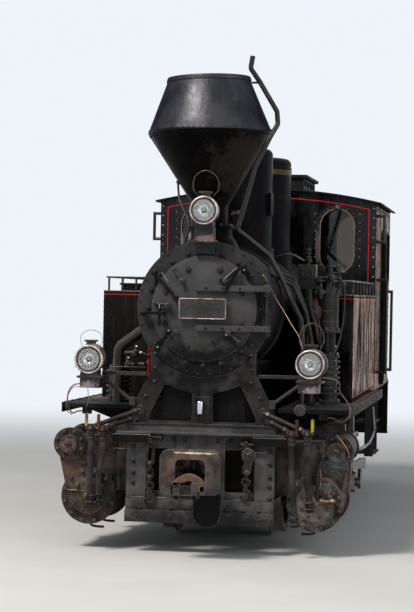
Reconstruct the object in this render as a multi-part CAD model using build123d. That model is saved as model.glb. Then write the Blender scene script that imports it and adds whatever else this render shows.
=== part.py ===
from build123d import *
import math
import os

# Narrow gauge steam locomotive with four coupled axles, side tanks, outside frames and a diamond chimney.
# Millimetres. X is across, -Y is the front, Z is up. Zero height is the lowest point of the wheel flanges.

# Wheels and axles
AXLE_PITCH = 900
FIRST_AXLE_Y = -1750
AXLE_COUNT = 4
DRIVEN_AXLE = 2
TREAD_R = 350
FLANGE_R = 375
WHEEL_BACK_X = 353
WHEEL_FACE_X = 463
FLANGE_T = 28
RIM_T = 62
HUB_R = 118
SPOKE_COUNT = 9
SPOKE_W = 46
AXLE_R = 68
AXLE_Z = FLANGE_R
CRANK_R = 150
CRANK_ANGLE = 45
CRANK_IN_X = 548
CRANK_T = 46
CRANK_HUB_R = 112
CRANK_EYE_R = 72
PIN_R = 36
AXLE_YS = [FIRST_AXLE_Y + AXLE_PITCH * i for i in range(AXLE_COUNT)]
DRIVEN_Y = AXLE_YS[DRIVEN_AXLE]

# Rods and motion, each in its own plane across the locomotive
COUPLING_X0 = 626
COUPLING_T = 58
COUPLING_EYE_R = 74
COUPLING_WEB_H = 84
PIN_CAP_T = 16
RUN_GAP = 6
PIN_PLAY = 0.6
MAIN_T = 74
MAIN_BIG_R = 98
MAIN_SMALL_R = 52
RETURN_T = 28
RETURN_R = 72
ECCENTRIC_T = 26
CYLINDER_X = 810
MAIN_X0 = CYLINDER_X - MAIN_T / 2
CYLINDER_BORE_COVER_R = 200
CYLINDER_FRONT_Y = -3000
CYLINDER_LENGTH = 520
VALVE_X = 957
VALVE_Z = 743
VALVE_R = 115
PISTON_ROD_R = 34
GUDGEON_R = 30
SLIDE_GAP = 85
SLIDE_BAR_T = 36
SLIDE_BAR_W = 78
CROSSHEAD_L = 230
CROSSHEAD_NOSE = 140
CROSSHEAD_CLEAR = 40
GLAND_L = 50
CYLINDER_REAR_Y = CYLINDER_FRONT_Y + CYLINDER_LENGTH
CROSSHEAD_MID_Y = CYLINDER_REAR_Y + GLAND_L + CROSSHEAD_CLEAR + CROSSHEAD_NOSE + CRANK_R
MAIN_LENGTH = DRIVEN_Y - CROSSHEAD_MID_Y
PISTON_FRONT = 2 * CRANK_R + CROSSHEAD_NOSE + CROSSHEAD_CLEAR + GLAND_L + 30
SLIDE_BAR_REAR_Y = CROSSHEAD_MID_Y + CRANK_R + CROSSHEAD_L / 2 + 75

# Frame and buffer beams
FRAME_X = 505
FRAME_T = 25
FRAME_TOP_Z = 850
FRAME_LOW_Z = 270
FRAME_FRONT_Y = -3020
FRAME_REAR_Y = 3034
HORN_W = 226
BOX_TOP_Z = 500
SPRING_Z = 690
BEAM_T = 30
BEAM_HALF_W = 528
BEAM_TOP_Z = 900
BEAM_LOW_Z = 215
BEAM_WINDOW_IN_X = 170
BEAM_WINDOW_OUT_X = 380
BEAM_WINDOW_LOW_Z = 436
BEAM_WINDOW_TOP_Z = 734
COUPLER_PAD_T = 14
COUPLER_STEM = 306
COUPLER_RING = 130
COUPLER_REACH_Y = FRAME_REAR_Y + BEAM_T + COUPLER_STEM + COUPLER_RING
COUPLER_W = 420
COUPLER_H = 305
COUPLER_Z = 607
COUPLER_MOUTH_W = 210
COUPLER_MOUTH_H = 180
COUPLER_PIN_R = 19
SHACKLE_X = -30
SHACKLE_R = 85
SHACKLE_BAR = 44
SHACKLE_T = 38
SHACKLE_LEG = 76
SHACKLE_TOP_Z = 537
LUG_X = 100
LUG_HALF_W = 97
LUG_LOW_Z = 222
LUG_T = 34

# Boiler, smokebox and what stands on them
BOILER_Z = 1725
BOILER_R = 450
SMOKEBOX_R = 470
SMOKEBOX_WALL = 14
SMOKEBOX_FRONT_Y = -3000
SMOKEBOX_LENGTH = 750
RING_R = 484
DOOR_R = 376
DOOR_OPENING_R = 352
DOOR_DISH = 46
HINGE_X = 452
CHIMNEY_Y = -2750
CHIMNEY_LEAN = 2
CHIMNEY_BASE_R = 150
CHIMNEY_BASE_Z = 2292
CHIMNEY_FLANGE_T = 24
CHIMNEY_NECK_R = 118
CHIMNEY_NECK_Z = 2452
CHIMNEY_WIDE_R = 445
CHIMNEY_WIDE_Z = 2985
CHIMNEY_RIM_R = 290
CHIMNEY_RIM_Z = 3378
CHIMNEY_WALL = 10
EXHAUST_R = 18
LEFT_PIPE_R = 39
RIGHT_PIPE_R = 14
DOME_TOP_Z = 2945
SAND_DOME_Y = -1780
STEAM_DOME_Y = -700
SAND_DOME_R = 310
STEAM_DOME_R = 325
BAND_Z = 2828
BAND_H = 44
BAND_T = 4

# Tanks, boards and cab
CAB_HALF_W = 950
REAR_BEAM_HALF_W = CAB_HALF_W - 50
TANK_IN_X = 570
TANK_OUT_X = CAB_HALF_W + 10
TANK_TOP_Z = 1845
TANK_FRONT_Y = -1920
BOARD_Z = 1030
BOARD_T = 30
BOARD_OUT_X = TANK_OUT_X + 70
BOARD_BRACKET_YS = (-2300, -1330, -480, 300)
CAB_FRONT_Y = 400
CAB_REAR_Y = 2150
CAB_WALL = 25
BOILER_REAR_Y = CAB_FRONT_Y + CAB_WALL
EAVES_Z = 2645
CROWN_Z = 2750
ROOF_T = 14
ROOF_OVERHANG = 42
VENT_HALF_W = 286
VENT_TOP_Z = 2900
WINDOW_IN_X = 448
WINDOW_OUT_X = 775
WINDOW_LOW_Z = 2023
WINDOW_TOP_Z = 2607
DOORWAY_Y0 = 1020
DOORWAY_Y1 = 1620
DOORWAY_TOP_Z = 2420
SIDE_WINDOW_LOW_Z = 1950
SIDE_WINDOW_R = 70
BUNKER_REAR_Y = 2860
BUNKER_TOP_Z = 1900

FIREBOX_Y0 = AXLE_YS[1] + AXLE_PITCH / 2 + 30
FIREBOX_Y1 = AXLE_YS[2] + AXLE_PITCH / 2 - 170
FIREBOX_HALF_W = 320
ASHPAN_Z = 560

# Grab rails on the cab sides: place along, lower and upper ends, and how far they stand out
RAILS = (
    (CAB_FRONT_Y + 60, 2300, 2550, 66),
    (DOORWAY_Y0 - 60, 1150, 2000, 60),
    (DOORWAY_Y1 + 50, 1150, 1900, 60),
)

# Lamps
LAMP_R = 102
LAMP_GLASS_R = 76
LAMP_DEPTH = 150
SIDE_LAMP = (780, -3230, 1355)
TOP_LAMP = (0, -3120, 2415)

# Chains on the front beam: place across, height of the eye, length of the first link
CHAINS = ((-352, 800, 190), (330, 776, 120))

FRONT_PLATE_T = 18
SOCKET_HALF_W = 56
SOCKET_DEPTH = 40
SOCKET_Z = (985, 1104)
SOCKET_CAP_R = 30
FRONT_PLATE_Y = SMOKEBOX_FRONT_Y + 4 - FRONT_PLATE_T

# Front hoses: the tap's place across, its foot's height and the pipe's end on the front plate
HOSE_Y = -3150
HOSE_R = 23
HOSE_NUT_R = 33
HOSE_NUT_L = 26
HOSE_NOSE_R = 25
HOSE_NOSE_L = 44
HOSES = (
    (-769, 806, (-440, FRONT_PLATE_Y - 30, 1002)),
    (-682, 800, (-480, FRONT_PLATE_Y - 30, 946)),
    (655, 800, (480, FRONT_PLATE_Y - 30, 946)),
    (764, 806, (440, FRONT_PLATE_Y - 30, 1002)),
)
HOSE_NAMES = ("hose_left_outer", "hose_left_inner", "hose_right_inner", "hose_right_outer")
HOSE_ROUTES = (
    [(-769, -3150, 806), (-769, -3150, 700), (-765, -3158, 590), (-771, -3156, 490), (-768, -3150, 400)],
    [(-682, -3150, 800), (-682, -3150, 715), (-700, -3140, 615), (-722, -3124, 510), (-724, -3112, 410)],
    [(655, -3150, 800), (655, -3150, 690), (664, -3162, 560), (672, -3160, 425), (682, -3152, 292)],
    [(764, -3150, 806), (764, -3150, 705), (772, -3160, 600), (778, -3158, 500), (786, -3150, 400)],
)
CABLE_R = 5
RIGHT_CABLE = [
    (842, -3140, 1262),
    (890, -3140, 1262),
    (945, -3115, 1255),
    (978, -3075, 1225),
    (965, -3035, 1188),
    (975, -3005, 1150),
    (1015, -2990, 1105),
    (1046, -2988, 1045),
    (1040, -2985, 990),
    (1000, -2978, 950),
    (955, -2952, 950),
    (925, -2925, 975),
    (880, -2925, 975),
]
LEFT_CABLE = [
    (-842, -3140, 1180),
    (-888, -3140, 1180),
    (-930, -3125, 1150),
    (-958, -3095, 1095),
    (-962, -3060, 1030),
    (-955, -3010, 975),
    (-940, -2960, 955),
    (-925, -2925, 975),
    (-880, -2925, 975),
]

EPS_GAP = 0.3


# Turns a drawing made flat into the side view: along, then up
SIDE_VIEW = Location(Plane.YZ)


def slab(x0, x1, y0, y1, z0, z1):
    """A box between two corners."""
    centre = Pos((x0 + x1) / 2, (y0 + y1) / 2, (z0 + z1) / 2)
    return centre * Box(abs(x1 - x0), abs(y1 - y0), abs(z1 - z0))


def along_x(radius, x0, x1, y, z):
    """A round bar across the locomotive."""
    return Pos((x0 + x1) / 2, y, z) * Rot(0, 90, 0) * Cylinder(radius, abs(x1 - x0))


def along_y(radius, y0, y1, x, z):
    """A round bar along the locomotive."""
    return Pos(x, (y0 + y1) / 2, z) * Rot(90, 0, 0) * Cylinder(radius, abs(y1 - y0))


def along_z(radius, z0, z1, x, y):
    """An upright round bar."""
    return Pos(x, y, (z0 + z1) / 2) * Cylinder(radius, abs(z1 - z0))


def bar(start, end, radius):
    """A round bar between any two points."""
    a = Vector(*start)
    b = Vector(*end)
    return Solid.make_cylinder(radius, (b - a).length, Plane(a, z_dir=(b - a)))


def mirrored(shape):
    """The same piece on the other side."""
    return mirror(shape, Plane.YZ)


def plate_x(points, x0, x1):
    """A flat plate in the side view, given its (y, z) outline, between two X planes."""
    face = make_face(Polyline(*[(y, z) for y, z in points], close=True))
    return Pos(min(x0, x1), 0, 0) * SIDE_VIEW * extrude(face, abs(x1 - x0))


def plate_y(sketch, y0, y1):
    """A flat plate in the front view, given its (x, z) face, between two Y planes."""
    return Pos(0, max(y0, y1), 0) * Rot(90, 0, 0) * extrude(sketch, abs(y1 - y0))


def outline(points):
    """A face from an (x, z) outline of straight edges."""
    return make_face(Polyline(*points, close=True))


def turned(points):
    """A body turned from an (r, h) outline about the upright axis."""
    face = make_face(Polyline(*points, close=True))
    return revolve(Rot(90, 0, 0) * face, Axis.Z)


def strap(y0, z0, r0, y1, z1, r1, x0, x1):
    """A link in the side view with two round ends, between two X planes."""
    length = math.hypot(y1 - y0, z1 - z0)
    angle = math.degrees(math.atan2(z1 - z0, y1 - y0))
    web = Rot(0, 0, angle) * make_face(
        Polyline((0, r0 * 0.96), (length, r1 * 0.96), (length, -r1 * 0.96), (0, -r0 * 0.96), close=True)
    )
    sketch = Pos(y0, z0) * (Circle(r0) + web) + Pos(y1, z1) * Circle(r1)
    return Pos(min(x0, x1), 0, 0) * SIDE_VIEW * extrude(sketch, abs(x1 - x0))


def pipe(points, bend, radius):
    """A bent pipe along straight runs with the same bend radius at each corner."""
    path = FilletPolyline(*points, radius=bend)
    ring = Plane(path @ 0, z_dir=path % 0) * Circle(radius)
    return sweep(ring, path=path)


def solids_of(shape):
    """All the solids in a shape or a list of shapes."""
    if isinstance(shape, (list, tuple)):
        return [solid for piece in shape for solid in solids_of(piece)]
    return list(shape.solids())


def save(name, *shapes):
    """Write one sub-part."""
    pieces = solids_of(shapes)
    shape = pieces[0] if len(pieces) == 1 else Compound(pieces)
    shape.label = name
    export_step(shape, "parts/" + name + ".step")


def crank_pin(side):
    """The rest place of a crank pin: forward and down on the right, back and down on the left."""
    swing = math.radians(CRANK_ANGLE)
    return (-side * CRANK_R * math.cos(swing), -CRANK_R * math.sin(swing))


def crosshead_y(side):
    """The gudgeon pin's rest place along the slide bars."""
    pin_y, pin_z = crank_pin(side)
    return DRIVEN_Y + pin_y - math.sqrt(MAIN_LENGTH**2 - pin_z**2)


# Wheels


def wheel(crank_y, crank_z):
    """A spoked wheel on the +X side at the origin, with its balance weight opposite the crank."""
    rim_in = TREAD_R - RIM_T
    points = [
        (rim_in, WHEEL_BACK_X),
        (FLANGE_R - 8, WHEEL_BACK_X),
        (FLANGE_R, WHEEL_BACK_X + 8),
        (FLANGE_R, WHEEL_BACK_X + FLANGE_T - 12),
        (TREAD_R, WHEEL_BACK_X + FLANGE_T),
        (TREAD_R - 3, WHEEL_FACE_X),
        (rim_in, WHEEL_FACE_X),
    ]
    face = make_face(Polyline(*[(r, 0, x) for r, x in points], close=True))
    rim = revolve(face, Axis.Z)
    mid = (WHEEL_BACK_X + WHEEL_FACE_X) / 2
    hub = Pos(0, 0, mid) * Cylinder(HUB_R, WHEEL_FACE_X - WHEEL_BACK_X)
    body = rim + hub
    spoke_l = rim_in - HUB_R + 16
    for i in range(SPOKE_COUNT):
        spoke = Pos((rim_in + HUB_R) / 2, 0, mid) * Box(spoke_l, SPOKE_W, SPOKE_W)
        body += Rot(0, 0, i * 360 / SPOKE_COUNT) * spoke
    away = math.degrees(math.atan2(-crank_z, -crank_y))
    weight = Pos(0, 0, mid) * Cylinder(rim_in + 5, SPOKE_W + 20)
    weight = weight & (Pos(rim_in - 30, 0, mid) * Box(190, 460, WHEEL_FACE_X - WHEEL_BACK_X))
    body += Rot(0, 0, away) * weight
    return SIDE_VIEW * body


def crank(side, index):
    """An outside crank with its pin at the origin's axle, on the +X side."""
    pin_y, pin_z = crank_pin(side)
    web = strap(0, 0, CRANK_HUB_R, pin_y, pin_z, CRANK_EYE_R, CRANK_IN_X, CRANK_IN_X + CRANK_T)
    cap_x = COUPLING_X0 + COUPLING_T + RUN_GAP / 2
    pin_end = cap_x + PIN_CAP_T
    if index == DRIVEN_AXLE:
        pin_end = MAIN_X0 - RUN_GAP / 2
    pin = along_x(PIN_R, CRANK_IN_X + CRANK_T / 2, pin_end, pin_y, pin_z)
    shoulder = along_x(PIN_R + 18, CRANK_IN_X + CRANK_T, COUPLING_X0 - RUN_GAP / 2, pin_y, pin_z)
    cap = along_x(PIN_R + 16, cap_x, cap_x + PIN_CAP_T, pin_y, pin_z)
    return web + pin + shoulder + cap


def wheelset(index):
    """An axle with two wheels and two outside cranks a quarter turn apart."""
    axle = along_x(AXLE_R, -CRANK_IN_X - CRANK_T / 2, CRANK_IN_X + CRANK_T / 2, 0, 0)
    right = wheel(*crank_pin(1)) + crank(1, index)
    left = mirrored(wheel(*crank_pin(-1)) + crank(-1, index))
    return Pos(0, AXLE_YS[index], AXLE_Z) * (axle + right + left)


def coupling_rod(side):
    """One side's coupling rod, with an eye on each crank pin, a fluted web and oil cups."""
    pin_y, pin_z = crank_pin(side)
    z = AXLE_Z + pin_z
    x0 = COUPLING_X0
    x1 = COUPLING_X0 + COUPLING_T
    first = AXLE_YS[0] + pin_y
    last = AXLE_YS[-1] + pin_y
    rod = slab(x0 + 8, x1 - 8, first, last, z - COUPLING_WEB_H / 2, z + COUPLING_WEB_H / 2)
    for i in range(AXLE_COUNT - 1):
        flute_y0 = AXLE_YS[i] + pin_y + COUPLING_EYE_R + 40
        flute_y1 = AXLE_YS[i + 1] + pin_y - COUPLING_EYE_R - 40
        for face_x in (x0 + 8, x1 - 8):
            groove = SlotOverall(flute_y1 - flute_y0, COUPLING_WEB_H - 34)
            cut = extrude(Pos((flute_y0 + flute_y1) / 2, z) * groove, 12, both=True)
            rod -= Pos(face_x, 0, 0) * SIDE_VIEW * cut
    for axle_y in AXLE_YS:
        rod += along_x(COUPLING_EYE_R, x0, x1, axle_y + pin_y, z)
        rod += along_z(17, z, z + COUPLING_EYE_R + 26, (x0 + x1) / 2, axle_y + pin_y)
    for axle_y in AXLE_YS:
        rod -= along_x(PIN_R + PIN_PLAY, x0 - 1, x1 + 1, axle_y + pin_y, z)
    return rod if side > 0 else mirrored(rod)


def main_rod(side):
    """The driving rod from gudgeon pin to crank pin, with the stub of the pin and the return crank."""
    pin_y, pin_z = crank_pin(side)
    big_y = DRIVEN_Y + pin_y
    big_z = AXLE_Z + pin_z
    small_y = crosshead_y(side)
    x0 = MAIN_X0
    x1 = MAIN_X0 + MAIN_T
    mid = (x0 + x1) / 2
    rod = strap(small_y, AXLE_Z, 34, big_y, big_z, 48, mid - 20, mid + 20)
    rod += along_x(MAIN_SMALL_R, mid - 24, mid + 24, small_y, AXLE_Z)
    tilt = math.degrees(math.atan2(big_z - AXLE_Z, big_y - small_y))
    block = Pos(mid, 0, 0) * Box(MAIN_T, 2 * MAIN_BIG_R, 2 * MAIN_BIG_R - 26)
    block = fillet(block.edges().filter_by(Axis.X), 22)
    wedge = Pos(mid, -MAIN_BIG_R - 30, 0) * Box(MAIN_T - 20, 100, 2 * MAIN_BIG_R - 70)
    rod += Pos(0, big_y, big_z) * Rot(tilt, 0, 0) * (block + wedge)
    rod += along_z(18, big_z, big_z + MAIN_BIG_R + 16, mid, big_y)
    flute = SlotOverall(MAIN_LENGTH - 520, 34)
    for face_x in (mid - 20, mid + 20):
        cut = Pos(face_x, (small_y + big_y) / 2, (AXLE_Z + big_z) / 2) * Rot(tilt, 0, 0)
        rod -= cut * SIDE_VIEW * extrude(flute, 7, both=True)
    rod -= along_x(GUDGEON_R + PIN_PLAY / 6, mid - 30, mid + 30, small_y, AXLE_Z)
    stub_end = x1 + RUN_GAP + 18
    rod += along_x(PIN_R, x1 - 10, stub_end, big_y, big_z)
    return_y, return_z = return_pin(side)
    rod += strap(big_y, big_z, 58, return_y, return_z, 40, stub_end - 4, stub_end - 4 + RETURN_T)
    return rod if side > 0 else mirrored(rod)


def return_pin(side):
    """The place of the return crank's pin at rest, a quarter turn from the crank."""
    pin_y, pin_z = crank_pin(side)
    return (DRIVEN_Y + side * pin_z / CRANK_R * RETURN_R, AXLE_Z - side * pin_y / CRANK_R * RETURN_R)


def crosshead(side):
    """A crosshead between the slide bars, with its gudgeon pin and piston rod."""
    y = crosshead_y(side)
    x = CYLINDER_X
    half = SLIDE_GAP - RUN_GAP / 2
    cheek_gap = 27
    body = slab(x - 56, x + 56, y - CROSSHEAD_L / 2, y + CROSSHEAD_L / 2, AXLE_Z - half, AXLE_Z + half)
    body -= slab(x - 60, x + 60, y + 52, y + CROSSHEAD_L, AXLE_Z - 60, AXLE_Z + 60)
    body -= slab(x - 60, x + 60, y - CROSSHEAD_L, y - 74, AXLE_Z - 60, AXLE_Z + 60)
    body -= slab(x - cheek_gap, x + cheek_gap, y - 58, y + CROSSHEAD_L, AXLE_Z - 62, AXLE_Z + 62)
    body += along_x(GUDGEON_R, x - 66, x + 66, y, AXLE_Z)
    body += along_x(GUDGEON_R + 12, x + 54, x + 66, y, AXLE_Z)
    body += along_y(PISTON_ROD_R + 22, y - 74, y - CROSSHEAD_NOSE, x, AXLE_Z)
    body += along_y(PISTON_ROD_R, y - 70, y - PISTON_FRONT, x, AXLE_Z)
    return body if side > 0 else mirrored(body)


# Frame


def frame_plate():
    """The right outside frame plate with a horn gap at each axle and lightening holes."""
    mid_z = (FRAME_TOP_Z + FRAME_LOW_Z) / 2
    points = [
        (FRAME_FRONT_Y, FRAME_LOW_Z + 120),
        (FRAME_FRONT_Y + 620, FRAME_LOW_Z + 120),
        (AXLE_YS[0] - 300, FRAME_LOW_Z),
        (AXLE_YS[-1] + 300, FRAME_LOW_Z),
        (AXLE_YS[-1] + 620, FRAME_LOW_Z + 230),
        (FRAME_REAR_Y, FRAME_LOW_Z + 230),
        (FRAME_REAR_Y, FRAME_TOP_Z),
        (FRAME_FRONT_Y, FRAME_TOP_Z),
    ]
    plate = plate_x(points, FRAME_X, FRAME_X + FRAME_T)
    for axle_y in AXLE_YS:
        half = HORN_W / 2
        plate -= slab(FRAME_X - 1, FRAME_X + FRAME_T + 1, axle_y - half, axle_y + half, 0, BOX_TOP_Z + 20)
    for i in range(AXLE_COUNT - 1):
        hole = extrude(SlotOverall(300, 170), FRAME_T + 2, both=True)
        place = Pos(FRAME_X, AXLE_YS[i] + AXLE_PITCH / 2, mid_z + 60)
        plate -= place * SIDE_VIEW * hole
    return plate


def horn_keeps():
    """Keep plates that close the bottom of each horn gap, on the right side."""
    keeps = []
    for axle_y in AXLE_YS:
        half = HORN_W / 2 + 60
        outer = FRAME_X + FRAME_T + 10
        keeps.append(slab(FRAME_X - 20, outer, axle_y - half, axle_y + half, FRAME_LOW_Z - 30, FRAME_LOW_Z))
    return keeps


def axlebox(axle_y):
    """One right axlebox with its journal bore."""
    half = HORN_W / 2 - EPS_GAP
    low = FRAME_LOW_Z + EPS_GAP
    box = slab(WHEEL_FACE_X + 8, CRANK_IN_X - 8, axle_y - half, axle_y + half, low, BOX_TOP_Z)
    box = fillet(box.edges().filter_by(Axis.X), 20)
    return box - along_x(AXLE_R + 0.08, WHEEL_FACE_X, CRANK_IN_X, axle_y, AXLE_Z)


def leaf_spring(axle_y):
    """A leaf spring over an axlebox: stepped leaves, a buckle, a pillar to the box and two hangers."""
    x0 = FRAME_X + FRAME_T + 6
    x1 = x0 + 62
    base_z = SPRING_Z
    spring = None
    for i, half_l in enumerate((350, 290, 230, 170, 110)):
        leaf_z = base_z - i * 14
        leaf = slab(x0, x1, axle_y - half_l, axle_y + half_l, leaf_z - 14, leaf_z)
        spring = leaf if spring is None else spring + leaf
    spring += slab(x0 - 4, x1 + 6, axle_y - 42, axle_y + 42, base_z - 84, base_z + 12)
    for end in (-1, 1):
        hanger_y = axle_y + end * 320
        spring += along_z(15, base_z - 60, base_z + 60, (x0 + x1) / 2, hanger_y)
        spring += slab(FRAME_X + FRAME_T, x1, hanger_y - 34, hanger_y + 34, base_z + 36, base_z + 66)
    return spring


def frame_stretchers():
    """Cross plates and the deck between the frame plates."""
    w = FRAME_X
    pieces = []
    for i in range(AXLE_COUNT - 1):
        y = AXLE_YS[i] + AXLE_PITCH / 2
        pieces.append(slab(-w, w, y - 12, y + 12, FRAME_LOW_Z + 190, FRAME_TOP_Z - 20))
    pieces.append(slab(-w, w, -2230, -2206, FRAME_LOW_Z + 130, FRAME_TOP_Z - 20))
    pieces.append(slab(-w, w, AXLE_YS[-1] + 500, AXLE_YS[-1] + 524, FRAME_LOW_Z + 240, FRAME_TOP_Z - 20))
    deck = slab(-w, w, FRAME_FRONT_Y, FRAME_REAR_Y, FRAME_TOP_Z - 20, FRAME_TOP_Z)
    deck -= slab(-330, 330, FIREBOX_Y0 - 10, FIREBOX_Y1 + 10, FRAME_TOP_Z - 30, FRAME_TOP_Z + 10)
    body = deck
    for piece in pieces:
        body += piece
    return body


def front_beam():
    """The front beam: an upright plate with two windows, a thick foot, a shelf and cheek plates."""
    y1 = FRAME_FRONT_Y
    y0 = y1 - BEAM_T
    beam = slab(-BEAM_HALF_W, BEAM_HALF_W, y0, y1, BEAM_LOW_Z + 80, BEAM_TOP_Z)
    for side in (-1, 1):
        x0 = side * BEAM_WINDOW_IN_X
        x1 = side * BEAM_WINDOW_OUT_X
        hole = slab(x0, x1, y0 - 1, y1 + 1, BEAM_WINDOW_LOW_Z, BEAM_WINDOW_TOP_Z)
        beam -= fillet(hole.edges().filter_by(Axis.Y), 24)
        cheek = slab(side * (BEAM_WINDOW_OUT_X + 8), side * BEAM_HALF_W, y0 - COUPLER_PAD_T, y0, 385, 838)
        beam += cheek
    beam += slab(-BEAM_HALF_W, BEAM_HALF_W, y0 - 30, y0, BEAM_LOW_Z + 80, 385)
    beam += slab(-BEAM_HALF_W, BEAM_HALF_W, y0 - 60, y1, BEAM_LOW_Z, BEAM_LOW_Z + 84)
    beam += slab(-600, 600, y0 - 60, y0 + 10, 838, 852)
    beam += slab(-170, 170, y0 - COUPLER_PAD_T, y0, 385, 838)
    return beam


def front_plate():
    """The sloping-sided plate from the beam up to the smokebox, with its two windows and the lamp socket."""
    y0 = FRONT_PLATE_Y
    y1 = y0 + FRONT_PLATE_T
    half = [(536, 900), (536, 960), (379, 1270), (379, 1500)]
    edge = outline(half + [(-x, z) for x, z in reversed(half)])
    edge -= Pos(0, BOILER_Z) * Circle(RING_R + EPS_GAP)
    for side in (-1, 1):
        hole = outline([(side * 75, 926), (side * 397, 926), (side * 250, 1230), (side * 75, 1230)])
        hole -= Pos(0, BOILER_Z) * Circle(598)
        hole = fillet(hole.vertices(), 22)
        edge -= hole
    plate = plate_y(edge, y0, y1)
    plate += slab(-536, 536, y0 - 44, y0, 900, 912)
    plate += slab(-SOCKET_HALF_W, SOCKET_HALF_W, y0 - SOCKET_DEPTH, y0, *SOCKET_Z)
    plate += along_y(SOCKET_CAP_R, y0 - SOCKET_DEPTH - 14, y0 - SOCKET_DEPTH, 0, sum(SOCKET_Z) / 2)
    return plate


def rear_beam():
    """The rear beam plate with its stiffening foot."""
    y0 = FRAME_REAR_Y
    beam = slab(-REAR_BEAM_HALF_W, REAR_BEAM_HALF_W, y0, y0 + BEAM_T, 480, 1000)
    beam += slab(-REAR_BEAM_HALF_W, REAR_BEAM_HALF_W, y0 + BEAM_T, y0 + BEAM_T + 60, 480, 500)
    beam += slab(-REAR_BEAM_HALF_W, REAR_BEAM_HALF_W, y0 + BEAM_T, y0 + BEAM_T + 60, 980, 1000)
    return beam


def coupler(back_y, reach):
    """A centre buffer and coupler: a stem, a rounded mouth ring, a pin bore and a hook in the mouth."""
    sign = 1 if reach > back_y else -1
    ring_y0 = reach - sign * COUPLER_RING
    front = Pos(0, COUPLER_Z) * RectangleRounded(COUPLER_W, COUPLER_H, 56)
    front -= Pos(0, COUPLER_Z) * RectangleRounded(COUPLER_MOUTH_W, COUPLER_MOUTH_H, 40)
    ring = plate_y(front, ring_y0, reach)
    back = slab(-110, 110, back_y, ring_y0, COUPLER_Z - 80, COUPLER_Z + 80)
    collar_face = Pos(0, COUPLER_Z) * RectangleRounded(COUPLER_W - 60, COUPLER_H - 50, 40)
    collar = plate_y(collar_face, ring_y0, ring_y0 - sign * 28)
    foot = plate_y(Pos(0, COUPLER_Z) * RectangleRounded(320, 204, 20), back_y, back_y + sign * 26)
    body = ring + back + collar + foot
    pin_y = reach - sign * 66
    body -= along_z(COUPLER_PIN_R, COUPLER_Z - COUPLER_H, COUPLER_Z + COUPLER_H, 0, pin_y)
    return body


def shackle():
    """The legs and pin of the front coupler's shackle, and their room in its lower bar."""
    y0 = -COUPLER_REACH_Y
    y1 = y0 + SHACKLE_T
    mouth_low = COUPLER_Z - COUPLER_MOUTH_H / 2
    leg_low = mouth_low - SHACKLE_LEG
    face = None
    for side in (-1, 1):
        x = SHACKLE_X + side * (SHACKLE_R - SHACKLE_BAR / 2)
        leg = Pos(x, (SHACKLE_TOP_Z + leg_low) / 2) * Rectangle(SHACKLE_BAR, SHACKLE_TOP_Z - leg_low)
        leg += Pos(x, leg_low) * Circle(SHACKLE_BAR / 2)
        face = leg if face is None else face + leg
    hook = plate_y(face, y0, y1)
    hook += along_x(13, SHACKLE_X - SHACKLE_R - 14, SHACKLE_X + SHACKLE_R + 14, (y0 + y1) / 2, leg_low)
    room = slab(
        SHACKLE_X - SHACKLE_R - 16,
        SHACKLE_X + SHACKLE_R + 16,
        y0 - 1,
        y1 + EPS_GAP,
        leg_low - SHACKLE_BAR,
        mouth_low + 1,
    )
    return hook, room


def coupler_lug():
    """The deep U-shaped lug under the right half of the front coupler."""
    y0 = -COUPLER_REACH_Y + COUPLER_RING
    centre_z = LUG_LOW_Z + LUG_HALF_W
    top_z = COUPLER_Z - COUPLER_H / 2 + 40
    face = Pos(LUG_X, centre_z) * Circle(LUG_HALF_W)
    face += Pos(LUG_X, (centre_z + top_z) / 2) * Rectangle(2 * LUG_HALF_W, top_z - centre_z)
    return plate_y(face, y0, y0 + LUG_T)


def link(width, length, wire, x, y, top, turn):
    """An oval chain link hanging from a height, turned about its upright axis."""
    oval = SlotOverall(length, width)
    ring = oval - SlotOverall(length - 2 * wire, width - 2 * wire)
    body = extrude(ring, wire / 2, both=True)
    return Pos(x, y, top - length / 2) * Rot(0, 0, turn) * Rot(0, 90, 0) * body


def coupling_chain(x, eye_z, first_length):
    """An eye on the front beam with a long link, small links and a hook hanging from it."""
    face_y = FRAME_FRONT_Y - BEAM_T
    y = face_y - 40
    wire = 18
    eye = slab(x - 9, x + 9, y - 26, face_y, eye_z - 26, eye_z + 26) - along_x(17, x - 20, x + 20, y, eye_z)
    pieces = [eye]
    top = eye_z - 17 + wire + EPS_GAP
    turn = 90
    for length, width in ((first_length, 62), (84, 54), (84, 54), (84, 54)):
        pieces.append(link(width, length, wire, x, y, top, turn))
        top += 2 * wire + EPS_GAP - length
        turn = 90 - turn
    neck = top - 62
    hook = Pos(x, neck - 62) * (Circle(44) - Circle(24)) - Pos(x - 60, neck - 62 + 40) * Rectangle(90, 80)
    hook += Pos(x, neck - 6) * Rectangle(24, 40)
    hook += Pos(x, top - 32) * (Circle(32) - Circle(14))
    pieces.append(plate_y(hook, y - 9, y + 9))
    return pieces


# Cylinders and valve gear


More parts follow.
